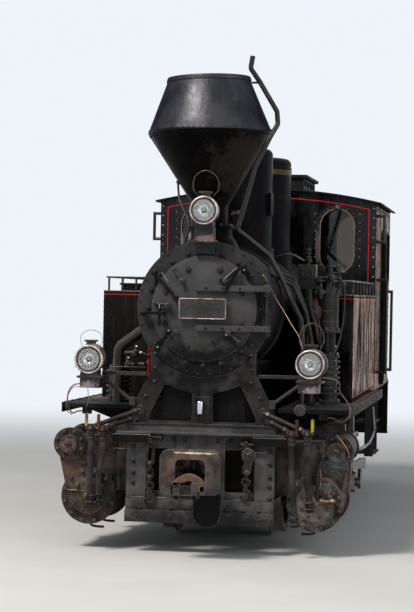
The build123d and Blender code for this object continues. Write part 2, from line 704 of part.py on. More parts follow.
def cylinder(side):
    """A cylinder and valve chest casting with covers, saddle flange, relief valve and drain cock."""
    y0 = CYLINDER_FRONT_Y
    y1 = CYLINDER_REAR_Y
    x = CYLINDER_X
    shell = Pos(x, AXLE_Z) * Circle(178)
    chest = Pos(VALVE_X, VALVE_Z) * Circle(VALVE_R - 12)
    web = outline(
        [
            (x - 150, AXLE_Z + 60),
            (x + 168, AXLE_Z + 30),
            (VALVE_X + 96, VALVE_Z),
            (VALVE_X - 90, VALVE_Z + 70),
            (x - 190, VALVE_Z + 60),
        ]
    )
    body = plate_y(shell + chest + web, y0 + 24, y1 - 24)
    inner = FRAME_X + FRAME_T
    body += slab(inner, x - 60, y0 + 40, y1 - 40, 420, 800)
    body += along_y(CYLINDER_BORE_COVER_R, y0, y0 + 26, x, AXLE_Z)
    body += along_y(CYLINDER_BORE_COVER_R, y1 - 26, y1, x, AXLE_Z)
    body += along_y(128, y0 - 26, y0, x, AXLE_Z)
    body += along_y(40, y0 - 62, y0 - 20, x, AXLE_Z)
    for flange in ((y0, y0 + 24), (y1 - 24, y1)):
        body += along_y(VALVE_R, flange[0], flange[1], VALVE_X, VALVE_Z)
    body += along_y(62, y0 - 40, y0, VALVE_X, VALVE_Z)
    body += along_y(62, y1, y1 + 60, VALVE_X, VALVE_Z)
    body += along_y(78, y1, y1 + GLAND_L, x, AXLE_Z)
    hole_front = crosshead_y(1) - PISTON_FRONT - 70
    body -= along_y(PISTON_ROD_R + 0.3, hole_front, y1 + 60, x, AXLE_Z)
    return body if side > 0 else mirrored(body)


def slide_bars():
    """Upper and lower slide bars and the motion bracket of the right side."""
    y0 = CYLINDER_REAR_Y
    x = CYLINDER_X
    half = SLIDE_BAR_W / 2
    pieces = None
    for z_side in (-1, 1):
        z0 = AXLE_Z + z_side * SLIDE_GAP
        z1 = AXLE_Z + z_side * (SLIDE_GAP + SLIDE_BAR_T)
        rail = slab(x - half, x + half, y0, SLIDE_BAR_REAR_Y, z0, z1)
        pieces = rail if pieces is None else pieces + rail
    y1 = SLIDE_BAR_REAR_Y
    bracket = slab(FRAME_X + FRAME_T, x + 96, y1 - 20, y1 + 20, 225, 860)
    bracket -= slab(x - 52, x + 60, y1 - 21, y1 + 21, AXLE_Z - SLIDE_GAP, AXLE_Z + SLIDE_GAP)
    bracket -= slab(0, COUPLING_X0 + COUPLING_T + 24, y1 - 21, y1 + 21, 0, SPRING_Z + 85)
    pieces += bracket
    return pieces


def valve_gear(side):
    """The fixed valve gear: spindle, combination lever, radius rod, curved link, eccentric rod, bracket."""
    x = VALVE_X - 20
    rear = CYLINDER_REAR_Y + 60
    lever_y = -2300
    link_y = -1240
    link_z = 690
    return_y, return_z = return_pin(side)
    plane0 = MAIN_X0 + MAIN_T + RUN_GAP + 18 - 4 + RETURN_T + 5
    body = along_y(17, rear, lever_y, VALVE_X, VALVE_Z)
    body += slab(plane0, plane0 + 60, lever_y - 30, lever_y + 30, VALVE_Z - 30, VALVE_Z + 46)
    body += strap(lever_y, VALVE_Z, 30, lever_y + 10, 300, 22, plane0, plane0 + ECCENTRIC_T)
    body += strap(lever_y, VALVE_Z + 26, 26, link_y, link_z + 60, 26, plane0 + 30, plane0 + 52)
    arc_r = 1100
    centre = link_y - arc_r
    ring = Pos(centre, link_z) * (Circle(arc_r + 36) - Circle(arc_r - 36))
    window = Pos(link_y, link_z) * Rectangle(220, 400)
    curved = ring & window
    slot = Pos(centre, link_z) * (Circle(arc_r + 15) - Circle(arc_r - 15))
    curved -= slot & (Pos(link_y, link_z) * Rectangle(220, 320))
    body += Pos(plane0, 0, 0) * SIDE_VIEW * extrude(curved, ECCENTRIC_T)
    body += slab(plane0, plane0 + 52, link_y - 24, link_y + 24, link_z + 36, link_z + 84)
    body += strap(link_y + 4, link_z - 190, 30, return_y, return_z, 46, plane0, plane0 + ECCENTRIC_T)
    holder = slab(FRAME_X + FRAME_T, plane0 - 5, link_y - 12, link_y + 12, link_z - 30, link_z + 200)
    body += holder
    body += along_x(26, plane0 - 20, plane0 + 2, link_y, link_z)
    return body if side > 0 else mirrored(body)


# Boiler and smokebox


def smokebox():
    """The hollow smokebox drum with its front ring, open for the door."""
    y0 = SMOKEBOX_FRONT_Y
    y1 = y0 + SMOKEBOX_LENGTH
    inner = SMOKEBOX_R - SMOKEBOX_WALL
    drum = along_y(SMOKEBOX_R, y0, y1, 0, BOILER_Z) - along_y(inner, y0 + 20, y1 - 20, 0, BOILER_Z)
    drum += along_y(RING_R, y0, y0 + 34, 0, BOILER_Z) - along_y(SMOKEBOX_R - 2, y0 + 1, y0 + 40, 0, BOILER_Z)
    drum -= along_y(DOOR_OPENING_R, y0 - 5, y0 + 60, 0, BOILER_Z)
    drum -= along_z(CHIMNEY_NECK_R - 20, BOILER_Z, BOILER_Z + SMOKEBOX_R + 50, 0, CHIMNEY_Y)
    drum += along_y(RING_R, y1 - 46, y1, 0, BOILER_Z) - along_y(SMOKEBOX_R - 2, y1 - 50, y1 + 4, 0, BOILER_Z)
    return drum


def smokebox_door():
    """The dished door with its rim, two hinge straps, dogs, a blank plate and a centre boss."""
    y = SMOKEBOX_FRONT_Y - 2
    rim = along_y(DOOR_R, y - 16, y, 0, BOILER_Z)
    sphere_r = (DOOR_R**2 + DOOR_DISH**2) / (2 * DOOR_DISH)
    cap = Pos(0, y - 16 - DOOR_DISH + sphere_r, BOILER_Z) * Sphere(sphere_r)
    cap = cap & along_y(DOOR_R - 10, y - 16 - DOOR_DISH - 10, y - 10, 0, BOILER_Z)
    door = rim + cap
    for z, x0 in ((1872, -60), (1590, -50)):
        strap_bar = slab(x0, HINGE_X - 10, y - 78, y - 52, z - 20, z + 20)
        door += fillet(strap_bar.edges().filter_by(Axis.Y), 12)
        door += slab(DOOR_R - 70, HINGE_X - 10, y - 60, y - 8, z - 20, z + 20)
        door += along_z(26, z - 24, z + 24, HINGE_X, y - 44)
        door -= along_z(13, z - 30, z + 30, HINGE_X, y - 44)
    for angle in (128, 52, 175, 222, 318):
        c = math.cos(math.radians(angle))
        s = math.sin(math.radians(angle))
        r0 = 250
        r1 = 345
        door += bar((r0 * c, y - 40, BOILER_Z + r0 * s), (r0 * c, y - 84, BOILER_Z + r0 * s), 16)
        door += bar((r0 * c, y - 72, BOILER_Z + r0 * s), (r1 * c, y - 60, BOILER_Z + r1 * s), 11)
        door += bar((r1 * c, y - 66, BOILER_Z + r1 * s), (r1 * c, y - 10, BOILER_Z + r1 * s), 13)
    door += slab(-172, 172, y - 92, y - 80, 1648, 1802)
    door += slab(-120, -90, y - 82, y - 40, 1700, 1750) + slab(90, 120, y - 82, y - 40, 1700, 1750)
    return door


def hinge_post():
    """The upright hinge rod of the smokebox door and its two brackets on the ring."""
    y = SMOKEBOX_FRONT_Y - 46
    post = along_z(12, 1545, 1917, HINGE_X, y)
    for z in (1552, 1830):
        pad = slab(HINGE_X - 22, HINGE_X + 22, y - 14, SMOKEBOX_FRONT_Y - 0.3, z - 14, z + 8)
        post += pad
    return post


def chimney():
    """The hollow diamond chimney: a base, a flange, a neck, a cone out to a sharp edge and a cone in."""
    wall = CHIMNEY_WALL
    rim_z = CHIMNEY_RIM_Z
    flange_z = CHIMNEY_BASE_Z + CHIMNEY_FLANGE_T
    foot_z = BOILER_Z + SMOKEBOX_R - 75
    points = [
        (CHIMNEY_BASE_R + 60, foot_z),
        (CHIMNEY_BASE_R + 24, CHIMNEY_BASE_Z - 87),
        (CHIMNEY_BASE_R, CHIMNEY_BASE_Z - 52),
        (CHIMNEY_BASE_R, CHIMNEY_BASE_Z),
        (CHIMNEY_BASE_R + 16, CHIMNEY_BASE_Z),
        (CHIMNEY_BASE_R + 16, flange_z),
        (CHIMNEY_NECK_R, flange_z),
        (CHIMNEY_NECK_R, CHIMNEY_NECK_Z),
        (CHIMNEY_WIDE_R, CHIMNEY_WIDE_Z),
        (CHIMNEY_RIM_R + 6, rim_z - 16),
        (CHIMNEY_RIM_R + 12, rim_z - 10),
        (CHIMNEY_RIM_R + 8, rim_z + 4),
        (CHIMNEY_RIM_R - wall, rim_z + 4),
        (CHIMNEY_WIDE_R - 1.4 * wall, CHIMNEY_WIDE_Z),
        (CHIMNEY_NECK_R - wall, CHIMNEY_NECK_Z),
        (CHIMNEY_NECK_R - wall, foot_z),
    ]
    to_foot = Pos(0, CHIMNEY_Y, CHIMNEY_BASE_Z)
    body = to_foot * Rot(0, -CHIMNEY_LEAN, 0) * Pos(0, 0, -CHIMNEY_BASE_Z) * turned(points)
    return body - along_y(SMOKEBOX_R + EPS_GAP, CHIMNEY_Y - 400, CHIMNEY_Y + 400, 0, BOILER_Z)


def dome(radius, centre_y, top_z, banded):
    """A tall round dome with a rounded top edge and a flared foot on the boiler, and a band if asked."""
    edge = 46
    body = along_z(radius, BOILER_Z, top_z, 0, centre_y)
    body = fillet(body.edges().filter_by(GeomType.CIRCLE).sort_by(Axis.Z)[-1], edge)
    body += along_z(radius + 20, BOILER_Z, BOILER_Z + BOILER_R + 16, 0, centre_y)
    if banded:
        body += along_z(radius + BAND_T, BAND_Z, BAND_Z + BAND_H, 0, centre_y)
    return body - along_y(BOILER_R + EPS_GAP, centre_y - 500, centre_y + 500, 0, BOILER_Z)


def boiler():
    """The lagged boiler barrel from the smokebox to the cab."""
    return along_y(BOILER_R, SMOKEBOX_FRONT_Y + SMOKEBOX_LENGTH, BOILER_REAR_Y, 0, BOILER_Z)


def firebox():
    """The firebox and ashpan between the frames, up to the boiler barrel."""
    body = slab(-FIREBOX_HALF_W, FIREBOX_HALF_W, FIREBOX_Y0, FIREBOX_Y1, ASHPAN_Z, 900)
    body += slab(-420, 420, FIREBOX_Y0 - 60, CAB_FRONT_Y - 20, FRAME_TOP_Z, BOILER_Z)
    return body - along_y(BOILER_R + EPS_GAP, FIREBOX_Y0 - 200, CAB_FRONT_Y + 200, 0, BOILER_Z)


# Lamps and small gear


def lamp(place, base_z):
    """A round headlamp facing forward with a vent cap, a rim, a hollow face and a square base."""
    x, y, z = place
    back = y + LAMP_DEPTH
    body = along_y(LAMP_R - 10, y + 18, back, x, z)
    body += along_y(LAMP_R, y, y + 26, x, z)
    body -= along_y(LAMP_GLASS_R + 2, y - 1, y + 40, x, z)
    body += along_z(34, z + LAMP_R - 26, z + LAMP_R + 34, x, y + 80)
    body += along_z(50, z + LAMP_R + 22, z + LAMP_R + 34, x, y + 80)
    body += slab(x - 62, x + 62, y + 24, back - 6, base_z, z - LAMP_R + 26)
    return body


def lamp_glass(place):
    """The bulging glass of a lamp."""
    x, y, z = place
    return along_y(LAMP_GLASS_R, y + 2, y + 39, x, z)


def lamp_mounts():
    """The lamp brackets: a trapezoid step on the smokebox front and two shelves beside the front plate."""
    x, y, z = TOP_LAMP
    base_z = z - LAMP_R - 14
    top = slab(-66, 66, y + 30, SMOKEBOX_FRONT_Y + 30, base_z - 92, base_z)
    top += slab(-84, 84, y + 10, SMOKEBOX_FRONT_Y + 36, base_z - 106, base_z - 92)
    face = outline([(-76, base_z - 106), (76, base_z - 106), (70, base_z - 184), (-70, base_z - 184)])
    top += plate_y(face, SMOKEBOX_FRONT_Y - 66, SMOKEBOX_FRONT_Y - EPS_GAP)
    top -= along_y(RING_R + EPS_GAP, SMOKEBOX_FRONT_Y, SMOKEBOX_FRONT_Y + 300, 0, BOILER_Z)
    pieces = [top]
    x, y, z = SIDE_LAMP
    shelf_z = z - LAMP_R - 14
    plate_front = SMOKEBOX_FRONT_Y - 14
    side = slab(x - 96, x + 84, y + 4, plate_front, shelf_z - 14, shelf_z)
    side += slab(400, x - 60, plate_front - 36, plate_front, shelf_z + 6, shelf_z + 30)
    side += slab(x - 100, x - 60, plate_front - 36, plate_front, shelf_z - 14, shelf_z + 30)
    side += bar((500, plate_front - 16, 1060), (x - 60, plate_front - 16, shelf_z - 14), 14)
    side += slab(480, 520, plate_front - 30, plate_front - EPS_GAP, 1030, 1090)
    side += slab(x - 80, x + 62, y + 12, y + LAMP_DEPTH - 14, shelf_z - 84, shelf_z - 14)
    pieces += [side, mirrored(side)]
    return pieces


def saddle():
    """The saddle casting between frame deck and smokebox."""
    half = [(330, FRAME_TOP_Z), (290, 1010), (290, 1180), (400, 1350)]
    face = outline(half + [(-x, z) for x, z in reversed(half)])
    face -= Pos(0, BOILER_Z) * Circle(SMOKEBOX_R + EPS_GAP)
    return plate_y(face, SMOKEBOX_FRONT_Y + 36, SMOKEBOX_FRONT_Y + SMOKEBOX_LENGTH - 50)


def chimney_pipe():
    """The long exhaust pipe up the right of the smokebox and chimney, with its clip to the chimney's rim."""
    y = CHIMNEY_Y
    front = y - 30
    route = [
        (276, y, 3540),
        (262, y, 3452),
        (330, y, 3355),
        (462, front, 3140),
        (470, front, 3050),
        (432, front - 120, 2950),
        (330, front - 150, 2732),
        (240, front - 130, 2400),
        (206, front - 120, 2290),
        (300, front - 60, 2215),
        (430, front - 20, 2110),
        (512, front, 1960),
        (570, front + 20, 1830),
        (650, front + 90, 1660),
        (660, front + 140, 1500),
        (660, front + 140, BOARD_Z),
    ]
    body = pipe(route, 36, EXHAUST_R)
    clip_x = CHIMNEY_RIM_R - 17
    return body + slab(clip_x, clip_x + 66, y - 9, y + 9, CHIMNEY_RIM_Z - 36, CHIMNEY_RIM_Z - 22)


def cab_profile(half_w, base_z, lift=0):
    """The cab's front view: straight sides and an arched top."""
    eaves_z = EAVES_Z + lift
    arch = ThreePointArc((-half_w, eaves_z), (0, CROWN_Z + lift), (half_w, eaves_z))
    walls = Polyline((half_w, eaves_z), (half_w, base_z), (-half_w, base_z), (-half_w, eaves_z))
    return make_face(Curve() + [arch, walls])


def window_shape(x0, x1, z0, z1):
    """An upright window with half-round ends."""
    return Pos((x0 + x1) / 2, (z0 + z1) / 2) * Rot(0, 0, 90) * SlotOverall(z1 - z0, x1 - x0)


def cab_front():
    """The cab's front sheet with two tall windows and the opening for the boiler."""
    face = cab_profile(CAB_HALF_W, BOARD_Z)
    face -= Pos(0, BOILER_Z) * Circle(BOILER_R + EPS_GAP)
    face -= outline([(-420, BOARD_Z - 1), (420, BOARD_Z - 1), (420, BOILER_Z), (-420, BOILER_Z)])
    for side in (-1, 1):
        hole = window_shape(WINDOW_IN_X, WINDOW_OUT_X, WINDOW_LOW_Z, WINDOW_TOP_Z)
        face -= hole if side > 0 else mirror(hole, Plane.YZ)
    return plate_y(face, CAB_FRONT_Y, CAB_FRONT_Y + CAB_WALL)


def cab_side():
    """The right cab side: a front sheet, a doorway open at the top, and a rear sheet with a window."""
    y0 = CAB_FRONT_Y + CAB_WALL
    y1 = CAB_REAR_Y - CAB_WALL
    side = slab(CAB_HALF_W - CAB_WALL, CAB_HALF_W, y0, y1, BOARD_Z, EAVES_Z - 4)
    past = CAB_HALF_W + CAB_WALL
    door = slab(0, past, DOORWAY_Y0, DOORWAY_Y1, BOARD_Z - 10, DOORWAY_TOP_Z)
    side -= fillet(door.edges().filter_by(Axis.X).sort_by(Axis.Z)[-2:], 110)
    front = DOORWAY_Y1 + 110
    rear = y1 - 60
    window = slab(0, past, front, rear, SIDE_WINDOW_LOW_Z, DOORWAY_TOP_Z)
    side -= fillet(window.edges().filter_by(Axis.X), min(SIDE_WINDOW_R, 0.4 * (rear - front)))
    return side


def cab_rear():
    """The cab's rear sheet with two windows."""
    face = cab_profile(CAB_HALF_W, BOARD_Z)
    for side in (-1, 1):
        hole = window_shape(WINDOW_IN_X, WINDOW_OUT_X, WINDOW_LOW_Z, WINDOW_TOP_Z)
        face -= hole if side > 0 else mirror(hole, Plane.YZ)
    return plate_y(face, CAB_REAR_Y - CAB_WALL, CAB_REAR_Y)


def cab_roof():
    """The arched roof sheet with its overhang and the raised ventilator box."""
    half = CAB_HALF_W + ROOF_OVERHANG
    drop = (CROWN_Z - EAVES_Z) * ((half / CAB_HALF_W) ** 2 - 1)
    low_z = EAVES_Z - drop + EPS_GAP
    high_z = EAVES_Z - drop + ROOF_T
    low = ThreePointArc((-half, low_z), (0, CROWN_Z + EPS_GAP), (half, low_z))
    high = ThreePointArc((half, high_z), (0, CROWN_Z + ROOF_T), (-half, high_z))
    edge_a = Line((half, low_z), (half, high_z))
    edge_b = Line((-half, high_z), (-half, low_z))
    face = make_face(Curve() + [low, edge_a, high, edge_b])
    roof = plate_y(face, CAB_FRONT_Y - 45, CAB_REAR_Y + 100)
    vent_y0 = 620
    vent_y1 = 1560
    box = slab(-VENT_HALF_W, VENT_HALF_W, vent_y0, vent_y1, CROWN_Z - 20, VENT_TOP_Z - 26)
    lid = slab(-VENT_HALF_W - 30, VENT_HALF_W + 30, vent_y0 - 30, vent_y1 + 30, VENT_TOP_Z - 26, VENT_TOP_Z)
    hollow = VENT_HALF_W - 12
    box -= slab(-hollow, hollow, vent_y0 + 12, vent_y1 - 12, CROWN_Z - 60, VENT_TOP_Z - 26)
    for i in range(4):
        slot_y = vent_y0 + 130 + i * 230
        beyond = VENT_HALF_W + 5
        box -= slab(-beyond, beyond, slot_y - 80, slot_y + 80, VENT_TOP_Z - 90, VENT_TOP_Z - 50)
    under = make_face(Curve() + [low, Polyline((half, low_z), (half, 2000), (-half, 2000), (-half, low_z))])
    box -= plate_y(under, vent_y0 - 50, vent_y1 + 50)
    roof -= slab(-hollow, hollow, vent_y0 + 12, vent_y1 - 12, CROWN_Z - 60, VENT_TOP_Z - 26)
    return roof + box + lid


def bracket_face(side, low_z, out_x, nose):
    """The face of a triangular bracket from a frame plate up to the boards' underside."""
    top = BOARD_Z - BOARD_T
    inner = side * (FRAME_X + FRAME_T)
    return outline([(inner, low_z), (side * out_x, top - nose), (side * out_x, top), (inner, top)])


def cab_floor():
    """The cab floor on two bearers over the frame plates, carried on back under the bunker."""
    y0 = CAB_FRONT_Y + CAB_WALL
    body = slab(-CAB_HALF_W + CAB_WALL, CAB_HALF_W - CAB_WALL, y0, CAB_REAR_Y, BOARD_Z - BOARD_T, BOARD_Z)
    body += slab(-REAR_BEAM_HALF_W, REAR_BEAM_HALF_W, CAB_REAR_Y, FRAME_REAR_Y, BOARD_Z - BOARD_T, BOARD_Z)
    for side in (-1, 1):
        outer = side * (FRAME_X + FRAME_T)
        body += slab(side * FRAME_X, outer, y0, FRAME_REAR_Y, FRAME_TOP_Z, BOARD_Z - BOARD_T)
        for y in (y0 + 60, 1300, CAB_REAR_Y - 60):
            body += plate_y(bracket_face(side, FRAME_TOP_Z - 90, REAR_BEAM_HALF_W, 30), y, y + 14)
    return body


def cab_glass():
    """The panes of the front and rear windows, in the middle of the sheets."""
    panes = []
    for y in (CAB_FRONT_Y + 10, CAB_REAR_Y - CAB_WALL + 10):
        face = window_shape(WINDOW_IN_X + 1, WINDOW_OUT_X - 1, WINDOW_LOW_Z + 1, WINDOW_TOP_Z - 1)
        pane = plate_y(face, y, y + 6)
        panes += [pane, mirrored(pane)]
    return panes


def window_frames():
    """The raised frames round the front windows, each with a hook plate on top."""
    frames = []
    outer = window_shape(WINDOW_IN_X - 22, WINDOW_OUT_X + 22, WINDOW_LOW_Z - 22, WINDOW_TOP_Z + 16)
    inner = window_shape(WINDOW_IN_X + 18, WINDOW_OUT_X - 18, WINDOW_LOW_Z + 18, WINDOW_TOP_Z - 18)
    ring = plate_y(outer - inner, CAB_FRONT_Y - 14, CAB_FRONT_Y)
    mid = (WINDOW_IN_X + WINDOW_OUT_X) / 2
    ring += slab(mid - 34, mid + 34, CAB_FRONT_Y - 24, CAB_FRONT_Y, WINDOW_TOP_Z - 24, WINDOW_TOP_Z + 18)
    return [ring, mirrored(ring)]


def backhead():
    """The boiler's back plate in the cab, with fire door, water gauges, regulator and pressure gauge."""
    y0 = BOILER_REAR_Y
    y1 = y0 + 110
    lower = outline([(-400, BOARD_Z), (400, BOARD_Z), (400, BOILER_Z), (-400, BOILER_Z)])
    face = Pos(0, BOILER_Z) * Circle(BOILER_R - 10) + lower
    body = plate_y(face, y0, y1)
    body += along_y(165, y1, y1 + 26, 0, 1420)
    body += slab(-190, -160, y1, y1 + 50, 1360, 1480)
    for x in (-230, 230):
        body += along_z(16, 1700, 2000, x, y1 + 34)
        body += slab(x - 24, x + 24, y1, y1 + 56, 1690, 1730) + slab(x - 24, x + 24, y1, y1 + 56, 1970, 2010)
    body += along_y(40, y1, y1 + 70, 0, 1950)
    body += bar((0, y1 + 60, 1950), (-210, y1 + 60, 1840), 15)
    body += along_y(78, y1 + 10, y1 + 50, 0, 2110) + slab(-30, 30, y1 - 10, y1 + 20, 2060, 2130)
    return body


def side_tank():
    """The right side tank with its filler lid and hand hole."""
    tank = slab(TANK_IN_X, TANK_OUT_X, TANK_FRONT_Y, CAB_FRONT_Y, BOARD_Z, TANK_TOP_Z)
    tank = fillet(tank.edges().filter_by(Axis.Z).sort_by(Axis.Y)[:2], 16)
    mid = (TANK_IN_X + TANK_OUT_X) / 2
    tank += along_z(150, TANK_TOP_Z, TANK_TOP_Z + 46, mid, -1450)
    tank += along_z(162, TANK_TOP_Z + 46, TANK_TOP_Z + 60, mid, -1450)
    return tank


def tank_rack():
    """The open rail rack on the right tank: posts, two rails and close bars along the outside."""
    z0 = TANK_TOP_Z
    z1 = z0 + 108
    x0 = TANK_IN_X + 34
    x1 = TANK_OUT_X - 26
    y0 = TANK_FRONT_Y + 24
    y1 = CAB_FRONT_Y - 4
    rack = slab(x0 - 8, x1 + 8, y0 - 8, y0 + 8, z1 - 12, z1)
    rack += slab(x1 - 8, x1 + 8, y0, y1, z1 - 12, z1) + slab(x0 - 8, x0 + 8, y0, y1, z1 - 12, z1)
    for x in (x0, (x0 + x1) / 2, x1):
        rack += slab(x - 7, x + 7, y0 - 7, y0 + 7, z0, z1 - 6)
    count = 16
    for i in range(1, count + 1):
        y = y0 + (y1 - y0 - 20) * i / count
        rack += slab(x1 - 6, x1 + 6, y - 6, y + 6, z0, z1 - 6)
        if i % 4 == 0:
            rack += slab(x0 - 6, x0 + 6, y - 6, y + 6, z0, z1 - 6)
    return rack


def running_boards():
    """The boards along both sides with their edge angles and triangular brackets from the frame."""
    y0 = -2955
    y1 = CAB_FRONT_Y + CAB_WALL
    board = slab(TANK_IN_X - 40, BOARD_OUT_X - 8, y0, y1, BOARD_Z - BOARD_T, BOARD_Z)
    board += slab(BOARD_OUT_X - 8, BOARD_OUT_X, y0, y1, BOARD_Z - 64, BOARD_Z + 6)
    for y in BOARD_BRACKET_YS:
        board += plate_y(bracket_face(1, FRAME_TOP_Z - 60, BOARD_OUT_X - 40, 40), y, y + 14)
    board += slab(820, 880, y0 + 8, y0 + 60, BOARD_Z - BOARD_T - 44, BOARD_Z - BOARD_T)
    return [board, mirrored(board)]


def bunker():
    """The open-topped rear bunker behind the cab."""
    half = CAB_HALF_W - 90
    y0 = CAB_REAR_Y
    box = slab(-half, half, y0, BUNKER_REAR_Y, BOARD_Z, BUNKER_TOP_Z)
    box = fillet(box.edges().filter_by(Axis.Z).sort_by(Axis.Y)[-2:], 60)
    box -= slab(-half + 12, half - 12, y0 + 12, BUNKER_REAR_Y - 12, BOARD_Z + 300, BUNKER_TOP_Z + 10)
    return box


def steam_pipes():
    """The bent pipes beside the smokebox: one on the left, three side by side on the right."""
    y = -2690
    left = pipe([(-400, y, 1632), (-673, y, 1430), (-673, y, BOARD_Z)], 80, LEFT_PIPE_R)
    pieces = [left]
    for i in range(3):
        step = i * 42
        route = [
            (390 - step * 0.4, -2420 + step, 1990 + step * 0.4),
            (560, -2420 + step, 1900 + step * 0.6),
            (650, -2420 + step, 1720),
            (690, -2330 + step, 1500),
            (690, -2330 + step, BOARD_Z),
        ]
        pieces.append(pipe(route, 40, RIGHT_PIPE_R))
    drum = along_y(SMOKEBOX_R + EPS_GAP, SMOKEBOX_FRONT_Y + 100, SMOKEBOX_FRONT_Y + 700, 0, BOILER_Z)
    return [piece - drum for piece in pieces]


def air_pump():
    """The upright two-stage pump on the right board: steam cylinder over a ribbed air cylinder."""
    x = 790
    y = -2130
    body = along_z(105, BOARD_Z, BOARD_Z + 26, x, y)
    body += along_z(78, BOARD_Z + 26, 1390, x, y)
    for i in range(7):
        z = BOARD_Z + 70 + i * 40
        body += along_z(98, z, z + 15, x, y)
    body += along_z(92, 1375, 1400, x, y)
    body += along_z(40, 1400, 1560, x, y)
    for a in range(4):
        c = math.cos(math.radians(45 + 90 * a))
        s = math.sin(math.radians(45 + 90 * a))
        body += along_z(10, 1400, 1560, x + 66 * c, y + 66 * s)
    body += along_z(94, 1560, 1584, x, y)
    body += along_z(80, 1584, 1850, x, y)
    body += along_z(94, 1850, 1880, x, y)
    body += along_z(46, 1880, 1990, x, y)
    body += along_z(24, 1990, 2060, x, y)
    head_x = 638
    body += along_x(26, head_x, x, y, 1940)
    body += slab(head_x - 68, head_x + 62, y - 56, y + 56, 1880, 2064)
    body += along_y(48, y - 76, y - 56, head_x, 2004) + along_y(30, y - 90, y - 56, head_x, 2004)
    body += along_z(52, 1670, 1880, head_x, y) + along_z(64, 1790, 1812, head_x, y)
    body += along_z(20, BOARD_Z, 1670, head_x, y)
    body += along_z(11, 2064, 2190, head_x, y) + along_z(26, 2084, 2104, head_x, y)
    return body


def feed_pump():
    """The small ribbed pump on the left board."""
    x = -735
    y = -2350
    body = along_z(72, BOARD_Z, 1290, x, y)
    for i in range(6):
        z = BOARD_Z + 22 + i * 38
        body += along_z(94, z, z + 14, x, y)
    body += along_z(50, 1290, 1330, x, y)
    return body


def air_reservoir():
    """An air reservoir under the right board, with domed ends and two straps."""
    x = 700
    z = 940
    body = along_y(46, -2260, -1500, x, z)
    for y in (-2140, -1620):
        body += slab(x - 8, x + 8, y - 20, y + 20, z + 40, BOARD_Z - BOARD_T)
        body += along_y(50, y - 20, y + 20, x, z)
    return body


def handrails():
    """Grab rails at the cab's front corners and both sides of each doorway."""
    pieces = []
    x = CAB_HALF_W
    for y, z0, z1, out in RAILS:
        rail = along_z(13, z0, z1, x + out, y)
        rail += along_x(13, x, x + out + 6, y, z0 + 13) + along_x(13, x, x + out + 6, y, z1 - 13)
        pieces += [rail, mirrored(rail)]
    return pieces


def steps():
    """Two treads under each doorway, hung on side plates from the floor."""
    y0 = DOORWAY_Y0 + 40
    y1 = DOORWAY_Y1 - 120
    x = CAB_HALF_W - 60
    body = None
    for z in (420, 700):
        tread = slab(x - 150, x + 40, y0, y1, z, z + 16)
        body = tread if body is None else body + tread
    for y in (y0 - 12, y1):
        body += slab(x - 60, x + 20, y, y + 12, 400, BOARD_Z - BOARD_T)
    return [body, mirrored(body)]


def brake_gear():
    """Brake shoes on the front of the last three axles' wheels, their hangers, cross bars and a pull rod."""
    shoes = []
    mid_x = (WHEEL_BACK_X + FLANGE_T + WHEEL_FACE_X) / 2
    for axle_y in AXLE_YS[1:]:
        ring = Circle(TREAD_R + 48) - Circle(TREAD_R + 9)
        sector = ring & (Pos(-TREAD_R - 20, -30) * Rectangle(160, 330))
        shoe = extrude(Pos(axle_y, AXLE_Z) * sector, 60)
        shoe = Pos(mid_x - 24, 0, 0) * SIDE_VIEW * shoe
        hang_y = axle_y - TREAD_R - 44
        body = shoe + slab(mid_x - 14, mid_x + 14, hang_y - 20, hang_y + 20, 300, FRAME_TOP_Z - 20)
        whole = body + mirrored(body) + along_x(22, -mid_x, mid_x, hang_y, 250)
        for side in (-1, 1):
            whole += slab(side * (mid_x - 14), side * (mid_x + 14), hang_y - 24, hang_y + 24, 226, 310)
        shoes.append(whole)
    return shoes


def hose_taps():
    """The valves over the front hoses with their pipes to the frame and upright handles."""
    pieces = []
    for x, z, foot in HOSES:
        tap = along_z(24, z, z + 60, x, HOSE_Y)
        tap += Pos(x, HOSE_Y, z + 62) * Sphere(33)
        tap += slab(x - 34, x + 34, HOSE_Y - 12, HOSE_Y + 12, z + 50, z + 76)
        handle_x = x + (34 if x > 0 else -34)
        tap += slab(handle_x - 8, handle_x + 8, HOSE_Y - 10, HOSE_Y + 10, z + 56, z + 150)
        tap += bar((x, HOSE_Y, z + 70), foot, 17)
        tap += along_y(30, foot[1] - 14, FRONT_PLATE_Y, foot[0], foot[2])
        pieces.append(tap)
    return pieces


def hose_end(route):
    """The coupling nut and nose on a hose's lower end, in line with it."""
    end = Vector(*route[-1])
    along = (end - Vector(*route[-2])).normalized()
    nut_end = end + along * HOSE_NUT_L
    return bar(end, nut_end, HOSE_NUT_R) + bar(nut_end, nut_end + along * HOSE_NOSE_L, HOSE_NOSE_R)


def cord(points, radius, name):
    """A hanging hose or cable: straight runs joined by the largest arcs that the runs allow."""
    corners = [Vector(*point) for point in points]
    bends = []
    for before, at, after in zip(corners, corners[1:], corners[2:]):
        turn = math.radians((at - before).get_angle(after - at))
        shorter = min((at - before).length, (after - at).length)
        bends.append(0.45 * shorter / math.tan(turn / 2))
    path = FilletPolyline(*points, radius=bends)
    ring = Plane(path @ 0, z_dir=path % 0) * Circle(radius)
    body = sweep(ring, path=path)
    print(name, "length", round(path.length), "bend radii", [round(bend) for bend in bends])
    filled = body.volume / (math.pi * radius**2 * path.length)
    print(name, "volume over section times length", round(filled, 4))
    return body


os.makedirs("parts", exist_ok=True)

